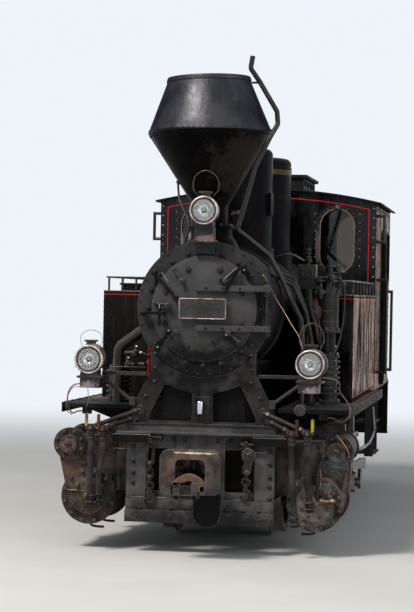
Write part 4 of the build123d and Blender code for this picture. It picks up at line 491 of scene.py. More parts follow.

# The worn finishes: their two colours, and where they differ from the usual wear, with painted shade,
# painted highlights and painted reflections among them.
FINISHES = {
    "paint": ((0.004, 0.004, 0.0046), (0.0095, 0.009, 0.0095), dict(rough=0.46, specular=0.05)),
    # Tanks and cab: metallic, with reflection_tint colouring their sheen warm, a painted reflection of a
    # wooden platform.
    "tank": (
        (0.008, 0.0078, 0.008), (0.014, 0.0125, 0.0125),
        dict(
            rough=0.15, specular=0.0, metallic=1.0, dust=0.12, rust=0.25, waves=0.8, grain=0.06,
            reflection_tint=(0.52, 0.3, 0.18), bands=1.0,
        ),
    ),
    "cab": (
        (0.02, 0.02, 0.0215), (0.03, 0.029, 0.03),
        dict(
            rough=0.2, specular=0.0, metallic=1.0, dust=0.1, streak=0.25, rust=0.2, waves=0.4, grain=0.08,
            reflection_tint=(0.46, 0.33, 0.25), bands=0.6,
        ),
    ),
    "roof": ((0.009, 0.0085, 0.0085), (0.022, 0.02, 0.018), dict(rough=0.65, dust=0.35, rust=0.4)),
    "smokebox": (
        (0.024, 0.0235, 0.025), (0.044, 0.043, 0.0445),
        dict(
            # Painted shade: the front faces are darkened by side, and the near-black spot below the door is
            # a painted shadow.
            rough=0.58, patch=5, rust=0.3, dust=0.15, side=0.94,
            spots=(((0.0, -3.0, 1.22), 0.34, (0.5, 1, 1.2), 0.95, (0.004, 0.004, 0.0045)),),
        ),
    ),
    "door": (
        (0.047, 0.0462, 0.0495), (0.066, 0.0645, 0.067),
        dict(
            rough=0.52, rust=0.5, wear=0.7, wear_colour=(0.2, 0.195, 0.19), grain=0.4, streak=0.4,
            streak_colour=(0.09, 0.086, 0.084), patch=4.5,
            spots=(
                # The first spot, near black at and below the door's bottom, is painted shade; the second is
                # a brown stain.
                ((0.0, -3.04, 1.33), 0.25, (0.55, 1, 1.25), 0.95, (0.006, 0.006, 0.0065)),
                ((0.0, -3.06, 1.455), 0.085, (0.8, 1, 1.6), 0.75, (0.05, 0.038, 0.032)),
                ((0.0, -3.09, 1.725), 0.19, (1, 1, 2.4), 0.6, (0.026, 0.021, 0.019)),
            ),
        ),
    ),
    "dome": (
        (0.0022, 0.0022, 0.003), (0.0052, 0.005, 0.006),
        dict(rough=0.42, specular=0.03, rust=0.3, dust=0.2, streak_colour=(0.03, 0.026, 0.026)),
    ),
    "brass_band": (
        (0.12, 0.065, 0.028), (0.06, 0.034, 0.018),
        dict(rough=0.42, metallic=0.85, dust=0.25, wear_colour=(0.5, 0.36, 0.18)),
    ),
    "beam": (
        (0.044, 0.043, 0.045), (0.11, 0.104, 0.106),
        dict(
            rough=0.55, rust=0.5, dust=0.3, streak=0.7, streak_colour=(0.105, 0.092, 0.082), wear=0.8,
            wear_colour=(0.2, 0.185, 0.17), patch=5,
            spots=(((0.0, -3.1, 0.2), 0.26, (0.2, 0.3, 1.4), 0.8, (0.014, 0.013, 0.0135)),),
        ),
    ),
    "plate": (
        (0.018, 0.0178, 0.019), (0.048, 0.046, 0.047),
        dict(
            rough=0.5, rust=0.5, dust=0.4, streak=0.55, wear=0.7, wear_colour=(0.14, 0.13, 0.125),
            # The spot is a painted shadow under the smokebox, near black.
            patch=4, spots=(((0.0, -3.02, 1.24), 0.4, (1, 1, 1.3), 0.95, (0.004, 0.004, 0.0045)),),
        ),
    ),
    "frame": (
        (0.018, 0.0165, 0.0155), (0.045, 0.038, 0.033), dict(rough=0.6, dust=0.6, rust=0.6, streak=0.5),
    ),
    "cylinder": (
        (0.0105, 0.0098, 0.011), (0.07, 0.057, 0.051),
        dict(
            rough=0.46, patch=9, grain=0.5, dust=0.6, rust=0.7, streak=0.7,
            streak_colour=(0.17, 0.145, 0.125), wear=0.9, wear_colour=(0.34, 0.29, 0.25),
            spots=(
                ((0.9, -3.02, 0.49), 0.07, (1, 0.6, 0.8), 0.5, (0.3, 0.3, 0.31)),
                ((0.8, -3.02, 0.32), 0.18, (1, 0.6, 1), 0.45, (0.3, 0.25, 0.215)),
                ((0.957, -3.03, 0.66), 0.1, (1, 0.6, 1), 0.5, (0.2, 0.2, 0.225)),
                ((-0.83, -3.02, 0.28), 0.12, (1, 0.6, 1), 0.45, (0.085, 0.052, 0.038)),
                ((-0.95, -3.02, 0.56), 0.13, (1, 0.6, 0.8), 0.6, (0.14, 0.078, 0.05)),
                ((-0.86, -3.02, 0.47), 0.12, (1, 0.6, 1), 0.35, (0.2, 0.17, 0.155)),
                ((-0.957, -3.03, 0.74), 0.07, (1, 0.6, 1), 0.5, (0.3, 0.19, 0.17)),
            ),
        ),
    ),
    "iron": (
        (0.033, 0.0285, 0.027), (0.098, 0.08, 0.07),
        dict(
            rough=0.42, patch=7, metallic=0.35, dust=0.45, rust=0.8, wear=0.9,
            wear_colour=(0.45, 0.4, 0.37),
            # The first spot is rust; the second, near black inside the coupler's mouth, is painted shade;
            # the third, a thin bright band along the head's top edge, is a painted highlight.
            spots=(
                ((-0.005, -3.5, 0.65), 0.2, (1, 0.3, 1.15), 0.55, (0.18, 0.118, 0.085)),
                ((0.0, -3.36, 0.6), 0.15, (0.9, 1, 0.8), 1.0, (0.004, 0.0038, 0.0042)),
                ((0.02, -3.5, 0.742), 0.16, (1, 0.3, 17), 0.8, (0.85, 0.78, 0.72)),
            ),
            # low: the lug below this height is painted in shade, near black.
            grain=0.9, low=0.45,
        ),
    ),
    "chain": (
        (0.009, 0.0085, 0.009), (0.036, 0.031, 0.029),
        dict(rough=0.4, metallic=0.5, wear=0.9, wear_colour=(0.42, 0.38, 0.36), rust=0.4, patch=9),
    ),
    "rods": (
        (0.23, 0.22, 0.21), (0.085, 0.075, 0.066),
        dict(
            rough=0.32, metallic=0.85, dust=0.3, rust=0.5, wear=0.9, wear_colour=(0.6, 0.58, 0.55),
            streak=0.5, patch=5, streak_colour=(0.03, 0.026, 0.023),
        ),
    ),
    "pipe": (
        (0.007, 0.0068, 0.0075), (0.02, 0.0175, 0.017),
        dict(rough=0.36, specular=0.3, rust=0.35, dust=0.2, wear_colour=(0.15, 0.13, 0.115)),
    ),
    "pump": (
        (0.0042, 0.004, 0.0044), (0.018, 0.015, 0.0142),
        dict(
            rough=0.42, specular=0.25, rust=0.5, dust=0.35, wear_colour=(0.24, 0.21, 0.19), wear=1.0,
            patch=7,
        ),
    ),
    "tap": (
        (0.0105, 0.0102, 0.0112), (0.036, 0.032, 0.031),
        dict(rough=0.42, metallic=0.3, rust=0.4, dust=0.12, wear_colour=(0.3, 0.28, 0.26), wear=0.8),
    ),
    "brass": (
        (0.16, 0.105, 0.035), (0.045, 0.033, 0.018),
        dict(rough=0.4, metallic=0.8, dust=0.3, rust=0.4, wear_colour=(0.5, 0.38, 0.2)),
    ),
    "copper": (
        (0.36, 0.22, 0.13), (0.15, 0.095, 0.06),
        dict(rough=0.38, metallic=0.9, dust=0.2, rust=0.1, wear_colour=(0.6, 0.4, 0.3)),
    ),
    "nut": (
        (0.009, 0.009, 0.0095), (0.028, 0.026, 0.026),
        dict(
            rough=0.38, specular=0.3, metallic=0.2, wear=0.9, wear_colour=(0.24, 0.225, 0.215), dust=0.25,
        ),
    ),
    "polished": (
        (0.6, 0.48, 0.41), (0.16, 0.12, 0.1),
        dict(
            rough=0.33, metallic=0.7, dust=0.15, rust=0.3, wear_colour=(0.8, 0.7, 0.62), streak=0.2,
            patch=16,
        ),
    ),
    "cream": (
        (0.86, 0.78, 0.71), (0.36, 0.28, 0.235),
        dict(rough=0.3, metallic=0.2, dust=0.2, rust=0.35, wear_colour=(0.8, 0.72, 0.64), patch=14),
    ),
    "gold": ((0.06, 0.042, 0.028), (0.16, 0.1, 0.06), dict(rough=0.35, metallic=0.7, dust=0.2)),
    "lilac": ((0.1, 0.095, 0.12), (0.045, 0.036, 0.036), dict(rough=0.5, metallic=0.3, dust=0.4, rust=0.7)),
    "red": (
        (0.75, 0.022, 0.02), (0.55, 0.02, 0.018),
        dict(rough=0.45, dust=0.1, streak=0.2, rust=0.1, wear=0.3),
    ),
    "yellow": ((0.5, 0.4, 0.035), (0.13, 0.105, 0.035), dict(rough=0.5, dust=0.3, rust=0.4, patch=14)),
    "lamp": (
        (0.011, 0.0105, 0.0105), (0.04, 0.036, 0.035),
        dict(
            rough=0.42, specular=0.25, dust=0.5, wear=0.9, wear_colour=(0.24, 0.2, 0.18), rust=0.6,
            spots=LAMP_SPOTS,
        ),
    ),
    "window_frame": (
        (0.0065, 0.0062, 0.0062), (0.018, 0.016, 0.015),
        dict(
            rough=0.45, specular=0.15, wear=0.6, wear_colour=(0.2, 0.17, 0.145), dust=0.4,
            spots=(((0.44, 0.38, 2.27), 0.16, (2, 1, 0.9), 0.7, (0.12, 0.094, 0.072)),),
        ),
    ),
    "bright_red": (
        (0.2, 0.036, 0.03), (0.045, 0.018, 0.016),
        dict(rough=0.45, dust=0.3, rust=0.3, wear_colour=(0.2, 0.12, 0.1)),
    ),
    "worn_steel": (
        (0.045, 0.043, 0.042), (0.1, 0.093, 0.088),
        dict(rough=0.38, metallic=0.5, wear=1.0, wear_colour=(0.42, 0.4, 0.38), rust=0.4),
    ),
    "worn_black": (
        (0.014, 0.0135, 0.0135), (0.036, 0.032, 0.03),
        dict(
            rough=0.4, specular=0.25, metallic=0.2, wear=1.0, wear_colour=(0.3, 0.275, 0.25), rust=0.5,
            dust=0.3,
        ),
    ),
    "chrome": (
        (0.62, 0.62, 0.64), (0.35, 0.35, 0.37),
        dict(rough=0.12, metallic=1.0, dust=0.1, rust=0.1, wear=0.2, streak=0.1),
    ),
    # A bright grey for painted highlights: bright rivet heads, edge lines and small bits.
    "glint": (
        (0.34, 0.34, 0.36), (0.16, 0.155, 0.16),
        dict(rough=0.35, metallic=0.4, dust=0.1, rust=0.3, wear=0.3, streak=0.2),
    ),
    # A light grey for painted highlights along edges.
    "edge_highlight": ((0.13, 0.12, 0.11), (0.05, 0.045, 0.04), dict(rough=0.4, metallic=0.3, dust=0.3)),
    "cylinder_nut": (
        (0.03, 0.027, 0.026), (0.08, 0.065, 0.055),
        dict(rough=0.48, wear=0.8, wear_colour=(0.25, 0.21, 0.18), rust=0.7),
    ),
    "mirror": (
        (1.0, 1.0, 1.0), (0.76, 0.78, 0.82),
        dict(
            rough=0.2, metallic=0.65, under=0.0, dust=0.0, rust=0.0, streak=0.0, wear=0.0, grain=0.03,
            patch=11,
        ),
    ),
    "bail": (
        (0.13, 0.12, 0.11), (0.07, 0.062, 0.056),
        dict(rough=0.4, metallic=0.5, wear_colour=(0.3, 0.28, 0.26)),
    ),
    "bulb": (
        (0.75, 0.72, 0.62), (0.6, 0.55, 0.45),
        dict(rough=0.1, dust=0.0, rust=0.0, wear=0.0, specular=0.6),
    ),
    "cable": ((0.3, 0.21, 0.12), (0.18, 0.12, 0.07), dict(rough=0.5, dust=0.2, rust=0.1, specular=0.3)),
    "shell": (
        (0.085, 0.07, 0.066), (0.035, 0.03, 0.03),
        dict(
            rough=0.38, metallic=0.3, dust=0.3, wear=0.8, wear_colour=(0.35, 0.3, 0.27), patch=8,
            spots=SHELL_SPOTS,
        ),
    ),
    "quiet": (
        (0.016, 0.0157, 0.0165), (0.034, 0.0325, 0.033),
        dict(rough=0.55, wear=0.25, wear_colour=(0.12, 0.115, 0.11), dust=0.2),
    ),
    "shackle": (
        (0.19, 0.105, 0.068), (0.07, 0.05, 0.042),
        dict(rough=0.5, rust=0.8, wear=0.8, wear_colour=(0.4, 0.32, 0.27), dust=0.3, patch=14, grain=0.8),
    ),
    "link": (
        (0.026, 0.025, 0.025), (0.06, 0.054, 0.051),
        dict(
            rough=0.42, metallic=0.3, wear=1.0, wear_colour=(0.36, 0.33, 0.31), dust=0.3, patch=10,
            grain=0.5,
        ),
    ),
    "rail": (
        (0.02, 0.02, 0.021), (0.05, 0.048, 0.05),
        dict(rough=0.45, wear=0.9, wear_colour=(0.3, 0.29, 0.29), dust=0.3, patch=6),
    ),
    "brown": (
        (0.035, 0.025, 0.023), (0.085, 0.06, 0.052),
        dict(rough=0.5, wear=0.7, wear_colour=(0.22, 0.17, 0.15), dust=0.3, patch=8),
    ),
    "tan": (
        (0.27, 0.2, 0.145), (0.12, 0.09, 0.068),
        dict(rough=0.4, metallic=0.5, dust=0.2, rust=0.3, wear_colour=(0.5, 0.42, 0.34)),
    ),
    # A bluish metal for the side pipe, a painted reflection of the sky.
    "sky_sheen": (
        (0.12, 0.13, 0.15), (0.05, 0.052, 0.06),
        dict(rough=0.28, metallic=0.9, dust=0.2, rust=0.2, wear_colour=(0.4, 0.42, 0.47)),
    ),
    "dial": (
        (0.6, 0.58, 0.52), (0.45, 0.42, 0.36), dict(rough=0.4, dust=0.1, rust=0.0, wear=0.0, streak=0.1),
    ),
}


def make_looks():
    """Every finish by name."""
    looks = {}
    for name, (base, second, more) in FINISHES.items():
        looks[name] = worn(name + "_look", base, second, **more)
    looks["chimney"] = make_chimney()
    looks["wood"] = make_wood("board_look", (0.075, 0.058, 0.046), (0.026, 0.022, 0.02), 0.55)
    looks["wheel"] = make_wheel()
    looks["rubber"] = make_rubber()
    looks["glass"] = make_glass("window_glass_look", (0.22, 0.205, 0.185), 0.03)
    looks["lens"] = make_glass("lens_look", (0.97, 0.98, 0.97), 0.0)
    return looks


NODE_LOOKS = {
    "paint": "saddle boiler firebox backhead cab_rear bunker tank_racks rear_beam",
    "smokebox": "smokebox",
    "door": "smokebox_door",
    "chimney": "chimney",
    "dome": "sand_dome steam_dome",
    "tank": "tank_left tank_right",
    "cab": "cab_front cab_left cab_right",
    "roof": "cab_roof",
    "plate": "front_plate",
    "beam": "front_beam",
    "frame": "frame_left frame_right frame_stretchers axleboxes leaf_springs brake_gear steps cab_floor",
    "cylinder": "cylinder_left cylinder_right",
    "iron": "couplers",
    "chain": "coupling_chains",
    "rods": (
        "coupling_rod_left coupling_rod_right main_rod_left main_rod_right "
        "crosshead_left crosshead_right slide_bars valve_gear"
    ),
    "wheel": "wheelset_1 wheelset_2 wheelset_3 wheelset_4",
    "pipe": "chimney_pipe steam_pipes handrails",
    "pump": "pumps",
    "tap": "hose_taps",
    "lamp": "lamps",
    "window_frame": "window_frames",
    "wood": "running_boards",
    "glass": "cab_glass",
    "lens": "lamp_glass",
    "rubber": "hose_left_outer hose_left_inner hose_right_inner hose_right_outer lamp_cable",
}


def dress_nodes(looks):
    """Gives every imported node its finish."""
    for look, names in NODE_LOOKS.items():
        for name in names.split():
            for slot in nodes[name].material_slots:
                slot.material = looks[look]


HOSES = {
    "hose_left_outer": (
        0.407,
        [
            (-0.769, -3.150, 0.806), (-0.769, -3.150, 0.700), (-0.765, -3.158, 0.590),
            (-0.771, -3.156, 0.490), (-0.768, -3.150, 0.400),
        ],
    ),
    "hose_left_inner": (
        0.396,
        [
            (-0.682, -3.150, 0.800), (-0.682, -3.150, 0.715), (-0.700, -3.140, 0.615),
            (-0.722, -3.124, 0.510), (-0.724, -3.112, 0.410),
        ],
    ),
    "hose_right_inner": (
        0.509,
        [
            (0.655, -3.150, 0.800), (0.655, -3.150, 0.690), (0.664, -3.162, 0.560),
            (0.672, -3.160, 0.425), (0.682, -3.152, 0.292),
        ],
    ),
    "hose_right_outer": (
        0.407,
        [
            (0.764, -3.150, 0.806), (0.764, -3.150, 0.705), (0.772, -3.160, 0.600),
            (0.778, -3.158, 0.500), (0.786, -3.150, 0.400),
        ],
    ),
}
CABLES = {
    "lamp_cable_right": (
        0.643,
        [
            (0.842, -3.140, 1.262), (0.890, -3.140, 1.262), (0.945, -3.115, 1.255), (0.978, -3.075, 1.225),
            (0.965, -3.035, 1.188), (0.975, -3.005, 1.150), (1.015, -2.990, 1.105), (1.046, -2.988, 1.045),
            (1.040, -2.985, 0.990), (1.000, -2.978, 0.950), (0.955, -2.952, 0.950), (0.925, -2.925, 0.975),
            (0.880, -2.925, 0.975),
        ],
    ),
    "lamp_cable_left": (
        0.449,
        [
            (-0.842, -3.140, 1.180), (-0.888, -3.140, 1.180), (-0.930, -3.125, 1.150), (
                -0.958, -3.095, 1.095,
            ),
            (-0.962, -3.060, 1.030), (-0.955, -3.010, 0.975), (-0.940, -2.960, 0.955), (
                -0.925, -2.925, 0.975,
            ),
            (-0.880, -2.925, 0.975),
        ],
    ),
}
HOSE_R = 0.023
CABLE_R = 0.005


def nurbs(name, points, radius, material):
    """A round cord along a smooth line that its route's points control."""
    data = bpy.data.curves.new(name, "CURVE")
    data.dimensions = "3D"
    data.bevel_depth = radius
    data.bevel_resolution = 5
    data.use_fill_caps = True
    spline = data.splines.new("NURBS")
    spline.points.add(len(points) - 1)
    for target, point in zip(spline.points, points):
        target.co = (*point, 1)
    spline.order_u = 3
    spline.use_endpoint_u = True
    spline.resolution_u = 12
    data.materials.append(material)
    cord = bpy.data.objects.new(name, data)
    bpy.context.collection.objects.link(cord)
    return cord


class Kit:
    """Small solid shapes, gathered by piece name and made into one mesh for each piece."""

    def __init__(self, looks):
        self.looks = looks
        self.parts = {}

    def put(self, name, points, faces):
        """Adds one closed shape to a piece."""
        held, sheets = self.parts.setdefault(name, ([], []))
        base = len(held)
        held.extend(tuple(point) for point in points)
        sheets.extend(tuple(base + i for i in face) for face in faces)

    def block(self, name, x0, x1, y0, y1, z0, z1):
        """A box between two corners."""
        points = [(x, y, z) for z in (z0, z1) for y in (y0, y1) for x in (x0, x1)]
        faces = [(0, 2, 3, 1), (4, 5, 7, 6), (0, 1, 5, 4), (2, 6, 7, 3), (0, 4, 6, 2), (1, 3, 7, 5)]
        self.put(name, points, faces)

    def lathe(self, name, place, axis, outline, count=12, turn=0.0):
        """A shape turned from (radius, height) steps about an axis through a place."""
        axis = Vector(axis).normalized()
        across = axis.orthogonal().normalized() if abs(axis.z) > 0.9 else axis.cross(
            Vector((0, 0, 1))
        ).normalized()
        other = axis.cross(across)
        place = Vector(place)
        points = []
        for radius, height in outline:
            for i in range(count):
                angle = turn + tau * i / count
                points.append(place + axis * height + (across * cos(angle) + other * sin(angle)) * radius)
        faces = []
        for ring in range(len(outline) - 1):
            for i in range(count):
                j = (i + 1) % count
                faces.append(
                    (ring * count + i, ring * count + j, (ring + 1) * count + j, (ring + 1) * count + i)
                )
        faces.append(tuple(range(count - 1, -1, -1)))
        last = (len(outline) - 1) * count
        faces.append(tuple(last + i for i in range(count)))
        self.put(name, points, faces)

    def ring(self, name, place, axis, loop, count=48):
        """A ring about an axis, from the closed (radius, height) loop of its section."""
        axis = Vector(axis).normalized()
        across = axis.orthogonal().normalized()
        other = axis.cross(across)
        place = Vector(place)
        sides = len(loop)
        points = []
        for i in range(count):
            angle = tau * i / count
            out = across * cos(angle) + other * sin(angle)
            points.extend(place + out * radius + axis * height for radius, height in loop)
        faces = []
        for i in range(count):
            for k in range(sides):
                a, b = i * sides, ((i + 1) % count) * sides
                m = (k + 1) % sides
                faces.append((a + k, b + k, b + m, a + m))
        self.put(name, points, faces)

    def hoop(self, name, place, axis, radius, section, count=48, sides=8):
        """A ring of round section about an axis."""
        turns = [tau * k / sides for k in range(sides)]
        self.ring(name, place, axis, [(radius + section * cos(t), section * sin(t)) for t in turns], count)

    def tube(self, name, points, radius, sides=8, steps=6):
        """A round bar bent smoothly through its points."""
        ends = [Vector(point) for point in points]
        line = []
        for i in range(len(ends) - 1):
            p0, p1, p2 = ends[max(i - 1, 0)], ends[i], ends[i + 1]
            p3 = ends[min(i + 2, len(ends) - 1)]
            for k in range(steps):
                t = k / steps
                line.append(
                    0.5 * (
                        2 * p1 + (p2 - p0) * t + (
                            2 * p0 - 5 * p1 + 4 * p2 - p3
                        ) * t**2 + (3 * p1 - p0 - 3 * p2 + p3) * t**3
                    )
                )
        line.append(ends[-1])
        along = (line[1] - line[0]).normalized()
        across = along.orthogonal().normalized()
        rings = []
        for i, point in enumerate(line):
            ahead = line[min(i + 1, len(line) - 1)] - line[max(i - 1, 0)]
            ahead.normalize()
            across = (across - ahead * across.dot(ahead)).normalized()
            other = ahead.cross(across)
            for k in range(sides):
                bend = tau * k / sides
                rings.append(point + (across * cos(bend) + other * sin(bend)) * radius)
        faces = []
        for i in range(len(line) - 1):
            for k in range(sides):
                m = (k + 1) % sides
                faces.append((i * sides + k, i * sides + m, (i + 1) * sides + m, (i + 1) * sides + k))
        faces.append(tuple(range(sides - 1, -1, -1)))
        last = (len(line) - 1) * sides
        faces.append(tuple(last + i for i in range(sides)))
        self.put(name, rings, faces)

    def strip(self, name, points, width, out, lift, closed=False):
        """A thin flat strip that follows a line on a flat wall, raised along the wall's outward axis."""
        line = [Vector(point) for point in points]
        out = Vector(out).normalized()
        count = len(line)
        corners = []
        for i, point in enumerate(line):
            before = line[i - 1] if i or closed else point
            after = line[(i + 1) % count] if i < count - 1 or closed else point
            one = (point - before).normalized() if (point - before).length else (after - point).normalized()
            two = (after - point).normalized() if (after - point).length else one
            side = (one + two).normalized().cross(out)
            grow = 1 / max(0.4, side.dot(two.cross(out)))
            for shift in (-1, 1):
                for up in (-0.0005, lift):
                    corners.append(point + side * (shift * width / 2 * grow) + out * up)
        faces = []
        for i in range(count if closed else count - 1):
            a, b = i * 4, ((i + 1) % count) * 4
            for p, q in ((0, 1), (1, 3), (3, 2), (2, 0)):
                faces.append((a + p, a + q, b + q, b + p))
        if not closed:
            faces.append((0, 2, 3, 1))
            end = (count - 1) * 4
            faces.append((end, end + 1, end + 3, end + 2))
        self.put(name, corners, faces)

    def plate(self, name, outline, y0, y1):
        """A flat plate that faces the front, cut to an (x, z) outline."""
        count = len(outline)
        points = [(x, y, z) for y in (y0, y1) for x, z in outline]
        faces = [tuple(range(count)), tuple(range(2 * count - 1, count - 1, -1))]
        faces += [(i, i + count, (i + 1) % count + count, (i + 1) % count) for i in range(count)]
        self.put(name, points, faces)

    def rod(self, name, start, end, radius, count=12, thin=1.0):
        """A straight bar between two points, with as many flats as it has sides."""
        a, b = Vector(start), Vector(end)
        length = (b - a).length
        self.lathe(
            name, a, b - a, ((radius, 0), (radius * thin, length)), count, pi / 4 if count == 4 else 0,
        )

    def rivet(self, name, place, axis, radius, height=None, count=8):
        """A round rivet or bolt head."""
        h = height or radius * 0.62
        self.lathe(
            name, place, axis,
            ((radius, -0.001), (radius * 0.94, h * 0.4), (radius * 0.62, h * 0.85), (radius * 0.2, h)),
            count,
        )

    def nut(self, name, place, axis, radius, height=None, stud=True, turn=0.0):
        """A six-sided nut with a chamfered top and the end of its stud."""
        h = height or radius * 0.85
        self.lathe(name, place, axis, ((radius, -0.001), (radius, h * 0.82), (radius * 0.86, h)), 6, turn)
        if stud:
            top = Vector(place) + Vector(axis).normalized() * h
            self.lathe(
                name, top, axis,
                ((radius * 0.5, -0.001), (radius * 0.5, h * 0.28), (radius * 0.38, h * 0.4)), 8,
            )

    def make(self, name, look, body="root", bevel=0.0, smooth=35.0, slot="black_paint"):
        """Turns a gathered piece into an object that rides on a body."""
        points, faces = self.parts.pop(name)
        mesh = bpy.data.meshes.new(name)
        mesh.from_pydata(points, [], faces)
        mesh.validate()
        mesh.polygons.foreach_set("use_smooth", [True] * len(mesh.polygons))
        mesh.set_sharp_from_angle(angle=radians(smooth))
        mesh.materials.append(self.looks[look])
        piece = bpy.data.objects.new(name, mesh)
        bpy.context.collection.objects.link(piece)
        if bevel:
            cut = piece.modifiers.new("bevel", "BEVEL")
            cut.width = bevel
            cut.segments = 2
            cut.limit_method = "ANGLE"
        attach(piece, body)
        return piece


def make_floor():
    """A plain pale floor that fades into the background far from the locomotive."""
    size = 60
    mesh = bpy.data.meshes.new("floor")
    mesh.from_pydata(
        [(-size, -size, 0), (size, -size, 0), (size, size, 0), (-size, size, 0)], [], [(0, 1, 2, 3)],
    )
    s = Shade("floor_look", 0.9, 0.0, 0.1)
    colour = s.mix(s.span(s.noise(0.8, 4), 0.3, 0.7), (0.62, 0.61, 0.585), (0.67, 0.66, 0.635))
    mesh.materials.append(s.finish(colour))
    tree = s.tree
    far = tree.nodes.new("ShaderNodeEmission")
    far.inputs["Color"].default_value = BACKGROUND
    length = tree.nodes.new("ShaderNodeVectorMath")
    length.operation = "LENGTH"
    s.fill(length.inputs[0], s.place)
    path = tree.nodes.new("ShaderNodeLightPath")
    seen = s.math("MAXIMUM", path.outputs["Is Camera Ray"], path.outputs["Is Glossy Ray"])
    seen = s.math("MAXIMUM", seen, path.outputs["Is Transmission Ray"])
    blend = tree.nodes.new("ShaderNodeMixShader")
    s.fill(blend.inputs[0], s.times(seen, s.span(length.outputs["Value"], 4.5, 16)))
    s.fill(blend.inputs[1], s.shader.outputs[0])
    s.fill(blend.inputs[2], far.outputs[0])
    tree.links.new(blend.outputs[0], tree.nodes["Material Output"].inputs[0])
    floor = bpy.data.objects.new("floor", mesh)
    bpy.context.collection.objects.link(floor)


def make_cords(kit):
    """The four front hoses with their couplings, and the two lamp cables."""
    for name, (length, route) in HOSES.items():
        hose = nurbs(name + "_rubber", route, HOSE_R, kit.looks["rubber"])
        end = Vector(route[-1])
        along = (end - Vector(route[-2])).normalized()
        head = name + "_head"
        kit.lathe(head, end - along * 0.012, along, ((0.0255, 0), (0.0275, 0.004), (0.0275, 0.012)), 24)
        kit.lathe(
            head, end - along * 0.001, along,
            ((0.034, 0), (0.0365, 0.003), (0.0365, 0.024), (0.034, 0.0275)), 6,
        )
        kit.lathe(
            head, end + along * 0.026, along,
            ((0.027, 0), (0.027, 0.018), (0.031, 0.021), (0.031, 0.034), (0.027, 0.045), (0.016, 0.0465)),
            24,
        )
        for way in (1, -1):
            lug = Vector((way, 0, 0))
            kit.lathe(
                head, end + along * 0.054 + lug * 0.026, lug,
                ((0.009, 0), (0.009, 0.012), (0.006, 0.016)), 10,
            )
        tail = kit.make(head, "tap", slot=None)
        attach(hose, "root")
        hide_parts(name)
    for name, (length, route) in CABLES.items():
        cable = nurbs(name, route, CABLE_R, kit.looks["cable"])
        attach(cable, "root")
        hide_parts("lamp_cable")


def both(x):
    """A place across and the same place on the other side."""
    return (x, -x)


def on_circle(x, y, z, radius, turn):
    """A place on an upright circle that faces the front."""
    return (x + radius * cos(turn), y, z + radius * sin(turn))


def on_roof(turn, y, lift, side=1):
    """A place above or below the arch of the roof."""
    radius = ROOF_R + lift
    return (radius * sin(turn) * side, y, ROOF_CENTRE_Z + radius * cos(turn))


def outward(loop, side):
    """A loop on a side wall, turned so that its strip faces outwards."""
    return loop if side < 0 else list(reversed(loop))


def rounded_loop(x0, x1, z0, z1, radius, y, steps=5):
    """The corners-rounded outline of an upright rectangle on a wall that faces the front."""
    points = []
    for x, z, start in (
        (x1 - radius, z1 - radius, 0), (x0 + radius, z1 - radius, 90), (x0 + radius, z0 + radius, 180),
        (x1 - radius, z0 + radius, 270),
    ):
        for k in range(steps + 1):
            turn = radians(start + 90 * k / steps)
            points.append((x + radius * cos(turn), y, z + radius * sin(turn)))
    return points


def front_bolts(kit):
    """Round bolt heads on the front beam, its foot and cheeks, and the front plate."""
    for x in (-0.285, -0.194, -0.107, 0.129, 0.220, 0.310):
        kit.rivet("beam_bolts", (x, BEAM_Y if abs(x) < 0.17 else -3.05, 0.800), FRONT, *BEAM_BOLT)
    for x, rows in (
        (-0.478, (0.741, 0.642, 0.560, 0.488, 0.393)), (0.496, (0.735, 0.646, 0.552, 0.485, 0.400)),
    ):
        for z in rows:
            kit.rivet("beam_bolts", (x, BEAM_Y, z), FRONT, *BEAM_BOLT)
    for x in (-0.421, -0.197, 0.196, 0.313, 0.426):
        kit.rivet("beam_bolts", (x, -3.08, 0.312), FRONT, *BEAM_BOLT)
    for x in (-0.44, -0.2, 0.02, 0.22, 0.44):
        kit.rivet("beam_bolts", (x, -3.11, 0.258), FRONT, 0.011, 0.008, 8)
    for x, z in ((-0.347, 1.203), (-0.409, 1.097), (-0.461, 0.996), (-0.497, 0.932)):
        kit.rivet("plate_bolts", (x, PLATE_Y, z), FRONT, *PLATE_BOLT)
        kit.rivet("plate_bolts", (-x, PLATE_Y, z + 0.005), FRONT, *PLATE_BOLT)
    for x in both(0.345):
        for z in (1.30, 1.40, 1.47):
            kit.rivet("plate_bolts", (x, PLATE_Y, z), FRONT, 0.0135, 0.01, 10)
    for i in range(9):
        x = -0.44 + 0.11 * i
        kit.rivet("plate_bolts", (x, -3.036, 0.912), UP, 0.009, 0.006, 8)
    kit.make("beam_bolts", "nut")
    kit.make("plate_bolts", "nut")
    # Thin light strips along the beam's edges: painted highlights.
    kit.strip("beam_seam", [(0.172, -3.0635, 0.39), (0.172, -3.0635, 0.836)], 0.006, FRONT, 0.0008)
    kit.strip("beam_seam", [(-0.528, -3.0805, 0.386), (0.528, -3.0805, 0.386)], 0.004, FRONT, 0.0008)
    kit.make("beam_seam", "edge_highlight")


def smokebox_bolts(kit):
    """The nuts and rivets of the smokebox and its ring."""
    for k in range(20):
        turn = radians(90 + 18 * k)
        place = on_circle(0, FRONT_Y, BOILER_Z, 0.402, turn)
        kit.lathe("ring_nuts", place, FRONT, ((0.021, -0.001), (0.021, 0.004), (0.015, 0.0045)), 16)
        kit.lathe(
            "ring_nuts", place, FRONT, ((0.0155, 0.003), (0.0155, 0.013), (0.006, 0.02)), 4,
            turn + 0.5 * (k % 3),
        )
    for k in range(36):
        turn = radians(5 + 10 * k)
        place = on_circle(0, FRONT_Y, BOILER_Z, 0.4655, turn)
        kit.rivet("ring_rivets", place, FRONT, 0.0085, 0.0055, 8)
    kit.make("ring_nuts", "quiet")
    for row in (-2.972, -2.28):
        for k in range(40):
            turn = radians(-200 + 220 * k / 39)
            out = (cos(turn), 0, sin(turn))
            kit.rivet(
                "ring_rivets", (0.484 * out[0], row, BOILER_Z + 0.484 * out[2]), out, 0.0085, 0.006, 8,
            )
    kit.make("ring_rivets", "quiet")


